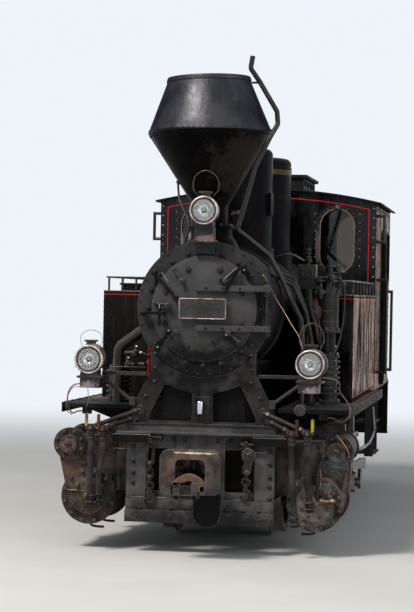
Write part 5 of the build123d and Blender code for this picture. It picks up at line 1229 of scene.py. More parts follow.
def door_bolts(kit):
    """The studs, dogs, plate border, hinge collars and wire of the smokebox door."""
    for k in range(8):
        turn = radians(22.5 + 45 * k)
        place = Vector(on_circle(0, -3.0355, BOILER_Z, 0.29, turn))
        kit.lathe("door_studs", place, FRONT, ((0.024, -0.002), (0.024, 0.003), (0.018, 0.0035)), 18)
        kit.nut("door_studs", place + Vector((0, -0.002, 0)), FRONT, 0.016, 0.012, True, 0.3 * k)
    for x, z in ((0.02, 1.872), (0.14, 1.872), (0.26, 1.872), (0.02, 1.59), (0.14, 1.59), (0.26, 1.59)):
        kit.rivet("door_studs", (x, -3.0795, z), FRONT, 0.011, 0.008, 10)
    kit.make("door_studs", "quiet", body="smokebox_door")
    for angle in (128, 52, 175, 222, 318):
        out = Vector((cos(radians(angle)), 0, sin(radians(angle))))
        inner = Vector((0, -3.086, BOILER_Z)) + out * 0.25
        outer = Vector((0, -3.068, BOILER_Z)) + out * 0.345
        kit.nut("door_dogs", inner, FRONT, 0.0205, 0.012, True, radians(angle))
        kit.lathe("door_dogs", outer, FRONT, ((0.0145, 0.0), (0.0145, 0.004), (0.01, 0.007)), 12)
        kit.lathe(
            "door_dogs", inner + Vector((0, 0.0105, 0)) + out * 0.01, out,
            ((0.0125, 0), (0.0125, 0.03), (0.011, 0.034)), 12,
        )
    kit.make("door_dogs", "nut", body="smokebox_door")
    kit.strip(
        "plate_border", rounded_loop(-0.1645, 0.1645, 1.6555, 1.7945, 0.013, -3.094), 0.0058, FRONT,
        0.004, True,
    )
    kit.make("plate_border", "polished", body="smokebox_door", bevel=0.0012)
    for x in both(0.11):
        kit.rivet("plate_screws", (x, -3.094, 1.725), FRONT, 0.008, 0.004, 12)
    kit.make("plate_screws", "door", body="smokebox_door")
    for z in (1.552, 1.845, 1.895, 1.60):
        kit.lathe(
            "hinge_collars", (0.452, -3.046, z), UP,
            ((0.016, -0.006), (0.018, -0.004), (0.018, 0.004), (0.016, 0.006)), 16,
        )
    kit.make("hinge_collars", "nut")
    kit.tube(
        "copper_wire",
        [
            (0.41, -3.004, 1.975), (0.462, -3.006, 1.895), (0.502, -3.004, 1.814), (0.56, -3.03, 1.73),
            (0.63, -3.09, 1.63), (0.69, -3.14, 1.545), (0.72, -3.165, 1.462),
        ],
        0.0032,
    )
    for place in ((0.418, -3.003, 1.962), (0.496, -3.004, 1.826)):
        kit.block(
            "copper_wire", place[0] - 0.009, place[0] + 0.009, place[1] - 0.006, place[1] + 0.003,
            place[2] - 0.004, place[2] + 0.004,
        )
    kit.make("copper_wire", "copper", slot="pipe_steel")


def fluted_lens(kit, x, y, z):
    """The domed front glass of a lamp with upright flutes, closed by a flat back."""
    rows = 9
    count = 72
    points = []
    for k in range(rows):
        radius = LENS_R * (1 - k / rows)
        for i in range(count):
            turn = tau * i / count
            px, pz = radius * cos(turn), radius * sin(turn)
            bulge = 0.0095 * (
                1 - (radius / LENS_R) ** 2
            ) + 0.0009 * cos(px * tau / 0.0125) * (1 if k else 0)
            points.append((x + px, y - bulge, z + pz))
    points.append((x, y - 0.0104, z))
    faces = []
    for k in range(rows - 1):
        for i in range(count):
            j = (i + 1) % count
            faces.append((k * count + i, k * count + j, (k + 1) * count + j, (k + 1) * count + i))
    top = len(points) - 1
    for i in range(count):
        faces.append(((rows - 1) * count + i, (rows - 1) * count + (i + 1) % count, top))
    base = len(points)
    for i in range(count):
        turn = tau * i / count
        points.append((x + LENS_R * cos(turn), y + 0.002, z + LENS_R * sin(turn)))
    for i in range(count):
        j = (i + 1) % count
        faces.append((j, i, base + i, base + j))
    faces.append(tuple(base + i for i in range(count)))
    kit.put("lamp_lenses", points, faces)


def lamp_details(kit):
    """For each headlamp: a cream rim, an inner ring, a bright bowl, a bulb, a lens, vents and clips."""
    for x, y, z in LAMPS:
        face = Vector((x, y, z))
        kit.ring(
            "lamp_rims", face, FRONT,
            (
                (0.1025, -0.026), (0.1025, -0.004), (0.1, 0.003), (0.0955, 0.0055), (0.091, 0.004),
                (0.0885, -0.001), (0.092, -0.003), (0.1, -0.026),
            ),
            64,
        )
        kit.ring(
            "lamp_inner_rings", face, FRONT,
            ((0.0855, -0.004), (0.0855, 0.001), (0.084, 0.0025), (0.0815, 0.002), (0.0815, -0.004)), 56,
        )
        bowl = [
            (0.0815, -0.004), (0.079, -0.008), (0.072, -0.016), (0.059, -0.025), (0.042, -0.032),
            (0.022, -0.0365), (0.006, -0.0378),
        ]
        back = [(radius + 0.0008, height - 0.0008) for radius, height in reversed(bowl)]
        kit.ring("lamp_bowls", face, FRONT, bowl + back, 48)
        kit.lathe(
            "lamp_bulbs", face - FRONT * 0.036, FRONT,
            ((0.011, 0), (0.011, 0.008), (0.0135, 0.012), (0.0145, 0.018), (0.012, 0.024), (0.006, 0.028)),
            16,
        )
        fluted_lens(kit, x, y, z)
        kit.ring(
            "lamp_trim", Vector((x, y + 0.08, z + 0.12)), UP,
            ((0.0345, 0), (0.0375, 0.001), (0.0375, 0.006), (0.0345, 0.007)), 28,
        )
        for k in range(6):
            turn = tau * k / 6
            kit.rivet(
                "lamp_trim", (x + 0.0335 * cos(turn), y + 0.08 + 0.0335 * sin(turn), z + 0.108),
                (cos(turn), sin(turn), 0), 0.0035, 0.002, 6,
            )
        for k in range(3):
            turn = radians(90 + 120 * k)
            kit.block(
                "lamp_trim", x + 0.1 * cos(turn) - 0.006, x + 0.1 * cos(turn) + 0.006, y - 0.002,
                y + 0.03, z + 0.1 * sin(turn) - 0.005, z + 0.1 * sin(turn) + 0.005,
            )
    kit.lathe(
        "lamp_shells", (0.794, -3.189, 1.357), REAR,
        ((0.1, 0), (0.1035, 0.004), (0.1035, 0.05), (0.09, 0.065)), 56,
    )
    kit.lathe(
        "lamp_shells", (-0.771, -3.189, 1.366), REAR,
        ((0.098, 0), (0.1015, 0.004), (0.1015, 0.05), (0.09, 0.065)), 56,
    )
    kit.make("lamp_shells", "shell")
    lens = kit.make("lamp_lenses", "lens", smooth=60, slot=None)
    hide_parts("lamp_glass")
    kit.make("lamp_rims", "cream", smooth=30)
    kit.make("lamp_inner_rings", "gold", smooth=30, slot="tap_brass")
    kit.make("lamp_bowls", "mirror", smooth=60, slot="bright_steel")
    kit.make("lamp_bulbs", "bulb", smooth=60, slot="lamp_lens")
    kit.make("lamp_trim", "lamp")


def arched(top, *side):
    """The steps of a bail with equal sides: up one side, over its top and down the other."""
    return [(-x, z) for x, z in side] + [(0, top)] + [(x, z) for x, z in reversed(side)]


def lamp_bails(kit):
    """The wire bails over the three lamps, through steps across and up from each lamp's centre."""
    tall = arched(0.285, (0.05, 0.09), (0.085, 0.16), (0.066, 0.245))
    loose = ((-0.03, 0.285), (-0.06, 0.2), (-0.066, 0.09))
    low = arched(0.205, (0.062, 0.08), (0.078, 0.14), (0.06, 0.185))
    bent = (
        (-0.04, 0.095), (-0.088, 0.15), (-0.078, 0.24), (0, 0.285), (0.08, 0.235), (0.09, 0.15),
        (0.04, 0.095),
    )
    for name, lamp, back, steps, radius in (
        ("lamp_bails", 0, 0.085, tall, 0.0026), ("lamp_bails", 0, 0.082, loose, 0.0016),
        ("lamp_wire_bail", 1, 0.085, low, 0.0018), ("lamp_bails", 2, 0.08, bent, 0.0026),
    ):
        x, y, z = LAMPS[lamp]
        kit.tube(name, [(x + dx, y + back, z + dz) for dx, dz in steps], radius)
    kit.make("lamp_wire_bail", "nut", slot="bright_steel")
    kit.make("lamp_bails", "bail", slot="bright_steel")


def lamp_feet(kit):
    """The lilac feet under the two lower lamps, and the thin wires below the left one."""
    for side in both(1):
        x = 0.78 * side
        kit.block("lamp_feet", x - 0.064, x + 0.064, -3.212, -3.09, 1.238, 1.252)
        kit.block("lamp_feet", x - 0.07, x + 0.07, -3.217, -3.086, 1.2215, 1.2245)
        for px in (-0.05, 0.05):
            kit.nut("lamp_feet", (x + px, -3.2, 1.2515), UP, 0.008)
    kit.make("lamp_feet", "lilac", bevel=0.0015)
    kit.tube(
        "lamp_wires",
        [
            (-0.855, -3.15, 1.158), (-0.905, -3.148, 1.152), (-0.94, -3.14, 1.1), (-0.956, -3.12, 1.04),
            (-0.958, -3.1, 0.985), (-0.93, -3.06, 0.955),
        ],
        0.0028,
    )
    kit.tube(
        "lamp_wires",
        [
            (-0.797, -3.17, 1.222), (-0.792, -3.172, 1.13), (-0.788, -3.165, 1.06),
            (-0.812, -3.13, 1.008), (-0.82, -3.05, 0.985),
        ],
        0.0028,
    )
    kit.make("lamp_wires", "copper", slot="pipe_steel")


def lining(kit):
    """Red lines round the tank fronts and sides and the cab front, as thin raised strips of paint."""
    y = TANK_FRONT_Y
    for side in both(1):
        inner, outer = 0.599 * side, 0.952 * side
        kit.strip(
            "tank_lining", [(outer, y, 1.815), (inner, y, 1.815), (inner, y, 1.06)], 0.0075, FRONT,
            0.0012,
        )
        wall = TANK_WALL_X * side
        loop = [(wall, -1.87, 1.07), (wall, -1.87, 1.805), (wall, 0.36, 1.805), (wall, 0.36, 1.07)]
        kit.strip("tank_lining", outward(loop, side), 0.0065, (side, 0, 0), 0.0012, True)
    kit.make("tank_lining", "red")
    points = [(-0.885, CAB_FRONT_Y, 1.87)]
    reach = asin(0.885 / (ROOF_R - 0.065))
    for k in range(13):
        points.append(on_roof(-reach + 2 * reach * k / 12, CAB_FRONT_Y, -0.065))
    points.append((0.885, CAB_FRONT_Y, 1.87))
    kit.strip("cab_lining", points, 0.0065, FRONT, 0.0012)
    for side in both(1):
        wall = CAB_WALL_X * side
        for y0, y1, z0, z1 in ((0.46, 0.965, 1.09, 2.55), (1.675, 2.1, 1.09, 1.87)):
            loop = [(wall, y0, z0), (wall, y0, z1), (wall, y1, z1), (wall, y1, z0)]
            kit.strip("cab_lining", outward(loop, side), 0.0065, (side, 0, 0), 0.0012, True)
    kit.make("cab_lining", "red")


def rivet_line(kit, name, start, end, pitch, axis, radius=0.0075):
    """A row of rivets between two points."""
    a, b = Vector(start), Vector(end)
    count = max(1, round((b - a).length / pitch))
    for k in range(count + 1):
        kit.rivet(name, a + (b - a) * k / count, axis, radius, radius * 0.6, 6)


def cab_rivets(kit):
    """The rivets along the edges and the arch of the cab's walls."""
    reach = asin(0.925 / (ROOF_R - 0.022))
    for k in range(22):
        place = on_roof(-reach + 2 * reach * k / 21, CAB_FRONT_Y, -0.022)
        kit.rivet("cab_rivets", place, FRONT, 0.0085, 0.0055, 8)
    for side in both(1):
        out = (side, 0, 0)
        # The outer rows of the front are painted bright, as painted highlights.
        rivet_line(
            kit, "cab_edge_rivets", (0.928 * side, CAB_FRONT_Y, 1.08), (0.928 * side, CAB_FRONT_Y, 2.6),
            0.085, FRONT, 0.0085,
        )
        rivet_line(kit, "cab_rivets", (0.928 * side, 2.15, 1.08), (0.928 * side, 2.15, 2.6), 0.085, REAR)
        for y in (0.428, 0.985, 1.655, 2.128):
            rivet_line(
                kit, "cab_rivets", (CAB_WALL_X * side, y, 1.08), (CAB_WALL_X * side, y, 2.58), 0.085, out,
            )
        rivet_line(
            kit, "cab_rivets", (CAB_WALL_X * side, 0.51, 2.60), (CAB_WALL_X * side, 2.06, 2.60), 0.1, out,
        )
    kit.make("cab_edge_rivets", "glint")
    kit.make("cab_rivets", "nut")


def tank_rivets(kit):
    """The rivets round the fronts and sides of the tanks."""
    for side in both(1):
        out = (side, 0, 0)
        for x in (0.588, 0.942):
            rivet_line(
                kit, "tank_rivets", (x * side, TANK_FRONT_Y, 1.07), (x * side, TANK_FRONT_Y, 1.80), 0.075,
                FRONT, 0.0065,
            )
        rivet_line(
            kit, "tank_rivets", (0.60 * side, TANK_FRONT_Y, 1.83), (0.93 * side, TANK_FRONT_Y, 1.83),
            0.066, FRONT, 0.0065,
        )
        for z in (1.062, 1.828):
            rivet_line(
                kit, "tank_rivets", (TANK_WALL_X * side, -1.885, z), (TANK_WALL_X * side, 0.37, z), 0.075,
                out, 0.0065,
            )
        for y in (-1.895, -1.15, -0.38, 0.38):
            rivet_line(
                kit, "tank_rivets", (TANK_WALL_X * side, y, 1.13), (TANK_WALL_X * side, y, 1.76), 0.075,
                out, 0.0065,
            )
    kit.make("tank_rivets", "quiet")


def bunker_rivets(kit):
    """The rivets of the bunker's sides and rear."""
    for side in both(1):
        out = (side, 0, 0)
        for z in (1.07, 1.86):
            rivet_line(
                kit, "bunker_rivets", (BUNKER_WALL_X * side, 2.2, z), (BUNKER_WALL_X * side, 2.78, z),
                0.075, out,
            )
            rivet_line(
                kit, "bunker_rivets", (0, BUNKER_REAR_Y, z), (0.78 * side, BUNKER_REAR_Y, z), 0.075, REAR,
            )
        for y in (2.18, 2.5, 2.78):
            rivet_line(
                kit, "bunker_rivets", (BUNKER_WALL_X * side, y, 1.14), (BUNKER_WALL_X * side, y, 1.79),
                0.075, out,
            )
    kit.make("bunker_rivets", "nut")


def frame_rivets(kit):
    """The rivets of the outside frames and the rear beam."""
    for side in both(1):
        out = (side, 0, 0)
        for y0 in (-2.95, -2.6):
            rivet_line(
                kit, "frame_rivets", (FRAME_WALL_X * side, y0, 0.32), (FRAME_WALL_X * side, y0, 0.8),
                0.09, out, 0.011,
            )
        rivet_line(
            kit, "frame_rivets", (FRAME_WALL_X * side, -2.45, 0.81), (FRAME_WALL_X * side, 2.9, 0.81),
            0.16, out, 0.011,
        )
        rivet_line(
            kit, "frame_rivets", (0.84 * side, REAR_BEAM_Y, 0.95), (0.2 * side, REAR_BEAM_Y, 0.95), 0.16,
            REAR, 0.013,
        )
        rivet_line(
            kit, "frame_rivets", (0.84 * side, REAR_BEAM_Y, 0.53), (0.2 * side, REAR_BEAM_Y, 0.53), 0.16,
            REAR, 0.013,
        )
    kit.make("frame_rivets", "frame", slot="frame_paint")


def boiler_bands(kit):
    """The bands round the boiler."""
    for y in (-2.2, -1.32, -1.14, -0.24, 0.3):
        loop = ((0.4495, -0.022), (0.454, -0.022), (0.454, 0.022), (0.4495, 0.022))
        kit.ring("boiler_bands", (0, y, BOILER_Z), REAR, loop, 72)
    kit.make("boiler_bands", "dome", bevel=0.001)


def window_details(kit):
    """Bolts, an inner bead and a latch on each front window frame."""
    for side in both(1):
        mid = 0.6115 * side
        ends = ((2.4435, 1), (2.1865, -1))
        for z, way in ends:
            for k in range(7):
                turn = radians(180 * k / 6) * way
                kit.nut(
                    "window_bolts", on_circle(mid, 0.386, z, 0.164, turn), FRONT, 0.0085, 0.007, False,
                    0.2 * k,
                )
        for x in both(0.164):
            for k in range(3):
                kit.nut(
                    "window_bolts", (mid + x, 0.386, 2.2435 + 0.0643 * k), FRONT, 0.0085, 0.007, False,
                    0.4 * k,
                )
        # Studs beside the windows, painted bright as highlights.
        for x in both(0.196):
            for k in range(7):
                kit.rivet("window_studs", (mid + x, 0.4, 2.1 + 0.075 * k), FRONT, 0.006, 0.004, 6)
        kit.block("window_latches", mid - 0.02, mid + 0.02, 0.368, 0.377, 2.588, 2.622)
        kit.lathe(
            "window_latches", (mid, 0.37, 2.6), FRONT, ((0.011, 0), (0.011, 0.01), (0.007, 0.013)), 12,
        )
        loop = []
        for z, way in ends:
            for k in range(13):
                turn = radians(180 * k / 12) if way > 0 else radians(180 + 180 * k / 12)
                loop.append(on_circle(mid, 0.386, z, 0.149, turn))
        kit.strip("window_beads", loop, 0.008, FRONT, 0.005, True)
    kit.make("window_bolts", "nut", slot="frame_wood")
    kit.make("window_studs", "glint")
    kit.make("window_latches", "worn_steel", bevel=0.0015, slot="frame_wood")
    kit.make("window_beads", "tan", bevel=0.001, slot="frame_wood")


def cylinder_details(kit):
    """Cover nuts, relief valves and drains of the two cylinders."""
    for side in both(1):
        x = CYLINDER_X * side
        for k in range(12):
            turn = tau * (k + 0.5) / 12
            kit.nut(
                "cylinder_nuts", on_circle(x, FRONT_Y, AXLE_Z, 0.178, turn), FRONT, 0.0165, 0.016, True,
                0.3 * k,
            )
            if abs(turn - pi / 2) > 0.6:
                kit.nut(
                    "cylinder_nuts", on_circle(x, CYLINDER_REAR_Y, AXLE_Z, 0.178, turn), REAR, 0.0165,
                    0.016, True, 0.3 * k,
                )
        for k in range(8):
            turn = tau * (k + 0.5) / 8
            kit.nut(
                "cylinder_nuts", on_circle(VALVE_X * side, FRONT_Y, VALVE_Z, 0.094, turn), FRONT, 0.0135,
                0.013, True, 0.3 * k,
            )
            kit.nut(
                "cylinder_nuts", on_circle(x, -3.026, AXLE_Z, 0.1, turn), FRONT, 0.01, 0.008, False,
                0.3 * k,
            )
        kit.nut("cylinder_nuts", (VALVE_X * side, -3.04, VALVE_Z), FRONT, 0.026, 0.03, True)
        kit.lathe(
            "cylinder_valves", (x + 0.004 * side, -3.062, AXLE_Z), FRONT,
            ((0.024, -0.004), (0.024, 0.01), (0.017, 0.016), (0.017, 0.03), (0.01, 0.034)), 16,
        )
        kit.lathe(
            "cylinder_valves", (0.886 * side, -3.026, 0.452), FRONT,
            (
                (0.02, -0.002), (0.02, 0.008), (0.014, 0.01), (0.014, 0.026), (0.018, 0.028),
                (0.018, 0.038), (0.008, 0.042),
            ),
            14,
        )
        kit.lathe(
            "cylinder_valves", (VALVE_X * side, -3.066, VALVE_Z), FRONT,
            ((0.012, 0), (0.012, 0.012), (0.007, 0.016)), 12,
        )
        for y in (-2.93, -2.55):
            kit.lathe(
                "drain_cocks", (x, y, 0.205), (0, 0, -1),
                ((0.02, -0.01), (0.02, 0.012), (0.014, 0.014), (0.014, 0.035)), 12,
            )
            kit.tube(
                "drain_pipes",
                [
                    (x, y, 0.178), (x - 0.01 * side, y, 0.16), (x - 0.04 * side, y, 0.152),
                    (x - 0.1 * side, y, 0.15),
                ],
                0.009,
            )
    kit.make("cylinder_nuts", "cylinder_nut")
    kit.make("cylinder_valves", "brass", slot="tap_brass")
    kit.make("drain_cocks", "tap", slot="tap_brass")
    kit.make("drain_pipes", "pipe", slot="pipe_steel")


def cylinder_pipes(kit):
    """Pipes beside the cylinders, and painted highlights along their edges."""
    kit.tube("lubricator_pipes", [(0.835, -3.0, 0.655), (0.85, -3.012, 0.56), (0.842, -3.016, 0.48)], 0.005)
    kit.tube(
        "lubricator_pipes", [(0.836, -3.035, 0.399), (0.9, -3.04, 0.398), (0.957, -3.035, 0.401)], 0.0125,
    )
    # Painted highlight along the left cylinder's edge.
    kit.tube(
        "cylinder_glints", [(-0.982, -2.995, 0.418), (-0.94, -3.03, 0.416), (-0.84, -3.034, 0.414)],
        0.005,
    )
    for x in (0.858, 0.935):
        kit.lathe(
            "lubricator_pipes", (x - 0.012, -3.038, 0.399), (1, 0, 0),
            ((0.018, 0), (0.02, 0.002), (0.02, 0.022), (0.018, 0.024)), 6,
        )
    kit.tube(
        "lubricator_pipes",
        [
            (0.955, -3.03, 0.86), (0.99, -3.03, 0.82), (1.03, -3.02, 0.76), (1.045, -2.99, 0.70),
            (1.04, -2.95, 0.66),
        ],
        0.006,
    )
    kit.make("lubricator_pipes", "copper", slot="pipe_steel")
    # Painted highlights in a rusty tan: a crescent on the right cover's rim and bars along the side's
    # sunlit edge.
    arc = [
        (0.81 + 0.191 * cos(radians(a)), -3.0, AXLE_Z + 0.191 * sin(radians(a)))
        for a in range(-4, 73, 4)
    ]
    kit.strip("cylinder_glints", arc, 0.015, FRONT, 0.0035)
    kit.rod("cylinder_glints", (1.053, -2.95, 0.669), (1.041, -2.95, 0.446), 0.013, 4)
    kit.rod("cylinder_glints", (1.045, -2.95, 0.6), (0.96, -2.95, 0.6), 0.008)
    kit.make("cylinder_glints", "tan", slot="pipe_steel")
    kit.tube(
        "side_pipe",
        [
            (0.97, -1.62, 0.66), (1.0, -1.55, 0.657), (1.03, -1.2, 0.67), (1.04, -0.95, 0.7),
            (1.045, -0.78, 0.742), (1.043, -0.72, 0.8), (1.03, -0.7, 0.94),
        ],
        0.013, 12,
    )
    for place, along in (((1.031, -1.12, 0.676), (0.05, 1, 0.1)), ((1.044, -0.76, 0.755), (0, 0.35, 0.9))):
        kit.lathe("side_pipe", place, along, ((0.018, 0), (0.022, 0.003), (0.022, 0.03), (0.018, 0.033)), 6)
    kit.make("side_pipe", "sky_sheen", slot="pipe_steel")
    kit.tube(
        "third_pipe",
        [
            (0.875, -3.0, 0.70), (0.85, -3.045, 0.665), (0.832, -3.062, 0.6), (0.829, -3.062, 0.5),
            (0.83, -3.05, 0.4),
        ],
        0.014, 12,
    )
    kit.make("third_pipe", "pipe", slot="pipe_steel")


def tap_details(kit):
    """Painted grips on the tap handles, brass or red bodies and union nuts on the slanting pipes."""
    places = (
        (-0.769, 0.806, "yellow"), (-0.682, 0.8, "red"), (0.655, 0.8, "red"), (0.764, 0.806, "yellow"),
    )
    feet = ((-0.44, 1.002), (-0.48, 0.946), (0.48, 0.946), (0.44, 1.002))
    for (x, z, tint), (foot_x, foot_z) in zip(places, feet):
        way = 1 if x > 0 else -1
        grip = x + 0.034 * way
        kit.block("tap_grips_" + tint, grip - 0.0098, grip + 0.0098, -3.162, -3.138, z + 0.078, z + 0.168)
        kit.lathe(
            "tap_clamps", (x, -3.15, z + 0.022), UP,
            ((0.0255, -0.002), (0.0285, 0), (0.0285, 0.018), (0.0255, 0.02)), 6,
        )
        kit.lathe(
            "tap_clamps", (x, -3.15, z - 0.002), (0, 0, -1),
            ((0.0265, -0.003), (0.0295, 0), (0.0295, 0.014), (0.0265, 0.016)), 24,
        )
        kit.lathe(
            "tap_bodies_" + tint, (x, -3.183, z + 0.062), FRONT,
            ((0.015, -0.006), (0.015, 0.004), (0.01, 0.009)), 6,
        )
        for dx, dz in ((0.028, 0.024), (-0.03, 0.02), (0.02, -0.018)):
            kit.lathe(
                "tap_bodies_" + tint, (x + dx * way, -3.16, z + 0.05 + dz), (dx * way, -0.03, dz),
                ((0.009, -0.02), (0.009, 0.006), (0.005, 0.01)), 6,
            )
        a, b = Vector((x, -3.15, z + 0.07)), Vector((foot_x, -3.044, foot_z))
        along = (b - a).normalized()
        kit.lathe(
            "tap_unions", a + along * 0.045, along,
            ((0.02, 0), (0.0245, 0.003), (0.0245, 0.027), (0.02, 0.03)), 6,
        )
        kit.lathe(
            "tap_unions", b - along * 0.05, along,
            ((0.02, 0), (0.0235, 0.003), (0.0235, 0.022), (0.02, 0.025)), 6,
        )
        kit.lathe(
            "tap_unions", (foot_x, -3.0145, foot_z), FRONT, ((0.038, 0), (0.038, 0.006), (0.033, 0.008)),
            20,
        )
    kit.make("tap_grips_yellow", "yellow", bevel=0.002, slot="tap_brass")
    kit.make("tap_grips_red", "bright_red", bevel=0.002, slot="tap_brass")
    kit.make("tap_clamps", "tap", slot="tap_brass")
    kit.make("tap_bodies_yellow", "brass", slot="tap_brass")
    kit.make("tap_bodies_red", "bright_red", slot="tap_brass")
    kit.make("tap_unions", "pipe", slot="tap_brass")


def chimney_details(kit):
    """Rivets round the widest edge and down the seam, base nuts, hoops and the stay of the chimney."""
    lean = Matrix.Rotation(CHIMNEY_LEAN, 4, "Y")

    def at(radius, turn, z):
        return CHIMNEY + lean @ Vector((radius * cos(turn), radius * sin(turn), z - CHIMNEY.z))

    for k in range(64):
        turn = tau * k / 64
        out = lean @ Vector((cos(turn), sin(turn), -0.55))
        kit.rivet("chimney_rivets", at(0.431, turn, 2.962), out, 0.0065, 0.0045, 6)
        out = lean @ Vector((cos(turn), sin(turn), 0.4))
        kit.rivet("chimney_rivets", at(0.4385, turn, 3.002), out, 0.0065, 0.004, 6)
    for k in range(14):
        t = 0.05 + 0.9 * k / 13
        wall = lean @ Vector((cos(-0.85), sin(-0.85), -0.61))
        kit.rivet("chimney_rivets", at(0.119 + 0.327 * t, -0.85, 2.452 + 0.533 * t), wall, 0.006, 0.004, 6)
    kit.make("chimney_rivets", "chimney")
    for k in range(10):
        turn = tau * (k + 0.5) / 10
        kit.nut("chimney_nuts", at(0.148, turn, 2.316), lean @ UP, 0.0115, 0.01, True, 0.4 * k)
    kit.make("chimney_nuts", "nut")
    kit.ring(
        "chimney_hoops", at(0, 0, 3.36), lean @ UP,
        ((0.302, -0.012), (0.306, -0.009), (0.302, 0.012), (0.296, 0.014)), 72,
    )
    kit.ring(
        "chimney_hoops", at(0, 0, 2.46), lean @ UP,
        ((0.119, -0.012), (0.1255, -0.01), (0.1255, 0.008), (0.122, 0.012)), 48,
    )
    kit.make("chimney_hoops", "chimney")
    lug = at(0.235, radians(-170), 2.633)
    kit.tube(
        "chimney_stay",
        [
            lug, lug + Vector((0.02, -0.03, -0.12)), Vector((-0.13, -2.95, 2.33)),
            Vector((-0.16, -2.93, 2.2)),
        ],
        0.008,
    )
    kit.lathe("chimney_stay", lug, (-0.8, -0.2, -0.5), ((0.018, -0.01), (0.018, 0.006), (0.01, 0.01)), 10)
    kit.lathe(
        "chimney_stay", (0.19, -2.85, 2.40), (1, -0.4, 0.2),
        ((0.02, -0.03), (0.026, -0.026), (0.026, 0.026), (0.02, 0.03)), 6,
    )
    kit.make("chimney_stay", "pipe", slot="pipe_steel")


def dome_details(kit):
    """Bolts, tops and hatch of the two domes, and the band of the rear one."""
    for y, radius in ((SAND_DOME_Y, 0.31), (STEAM_DOME_Y, 0.325)):
        for k in range(24):
            turn = tau * k / 24
            kit.rivet(
                "dome_bolts", (radius * 1.032 * cos(turn), y + radius * 1.032 * sin(turn), 2.1905), UP,
                0.007, 0.005, 6,
            )
    kit.lathe("dome_bolts", (0, STEAM_DOME_Y, 2.944), UP, ((0.09, 0), (0.09, 0.012), (0.075, 0.018)), 36)
    kit.lathe("dome_bolts", (0, SAND_DOME_Y, 2.944), UP, ((0.12, 0), (0.12, 0.01), (0.11, 0.014)), 36)
    kit.make("dome_bolts", "dome")
    loop = ((0.3285, -0.021), (0.3315, -0.02), (0.3315, 0.02), (0.3285, 0.021))
    kit.ring("dome_band", (0, STEAM_DOME_Y, 2.828), UP, loop, 72)
    kit.make("dome_band", "brass_band")
    kit.block("dome_hatch", 0.285, 0.318, -2.03 + 0.14, -2.03 + 0.30, 2.434, 2.607)
    kit.make("dome_hatch", "dome", bevel=0.004)


def door_levers(kit):
    """The clamp levers round the door, the upright bar of the left clamp and the blank socket's cap, with
    painted highlights on the levers and black strips at the hinge as painted shade.
    """
    ends = (
        ((-0.356, 1.973), (-0.19, 1.799)),
        ((0.276, 2.025), (0.131, 1.926)),
        ((-0.43, 1.686), (-0.285, 1.688)),
        ((-0.326, 1.437), (-0.242, 1.555)),
        ((0.288, 1.422), (0.163, 1.54)),
    )
    for (x0, z0), (x1, z1) in ends:
        outer, inner = Vector((x0, -3.05, z0)), Vector((x1, -3.082, z1))
        kit.rod("door_levers", outer, inner, 0.0165, 4, 0.75)
        kit.lathe(
            "door_levers", outer + Vector((0, 0.03, 0)), FRONT,
            ((0.021, 0), (0.021, 0.044), (0.017, 0.048)), 16,
        )
        kit.nut("door_levers", outer + Vector((0, -0.018, 0)), FRONT, 0.016, 0.012, True, x0)
        kit.lathe(
            "door_levers", inner + Vector((0, 0.03, 0)), FRONT,
            ((0.017, 0), (0.017, 0.04), (0.013, 0.045)), 16,
        )
    kit.rod("door_levers", (-0.306, -3.09, 1.75), (-0.306, -3.09, 1.6), 0.011, 8)
    kit.rod("door_levers", (0.239, -3.07, 2.001), (0.154, -3.078, 1.837), 0.0185, 4, 0.8)
    kit.make("door_levers", "paint", body="smokebox_door", bevel=0.0015)
    # Painted highlights: thin bright lines and dots on the levers.
    for (x0, z0), (x1, z1) in (
        ((-0.295, 1.975), (-0.246, 1.911)), ((0.242, 2.017), (0.15, 1.936)),
        ((-0.306, 1.752), (-0.306, 1.722)),
    ):
        kit.rod("lever_glints", (x0, -3.098, z0), (x1, -3.099, z1), 0.004, 6)
    for x, z in ((-0.237, 1.566), (0.172, 1.543), (0.29, 2.001), (-0.312, 1.448)):
        kit.rivet("lever_glints", (x, -3.094, z), FRONT, 0.0085, 0.008)
    kit.make("lever_glints", "glint", body="smokebox_door")
    # Painted shade: black strips for the shaded gaps at the hinge and beside the door.
    kit.block("hinge_shade_strips", 0.26, 0.278, -3.02, -3.0, 1.915, 2.012)
    kit.block("hinge_shade_strips", 0.3, 0.318, -3.02, -3.0, 1.905, 1.99)
    for x, z0, z1 in ((0.391, 1.635, 1.829), (0.43, 1.654, 1.811)):
        kit.block("hinge_shade_strips", x - 0.0085, x + 0.0085, -3.018, -3.0, z0, z1)
    kit.block("hinge_shade_strips", -0.36, -0.346, -3.012, -3.0, 1.845, 1.967)
    kit.make("hinge_shade_strips", "paint")
    kit.block("socket_cap", -0.026, 0.012, -3.084, -3.066, 0.978, 1.076)
    kit.make("socket_cap", "chrome", bevel=0.008, slot="bright_steel")


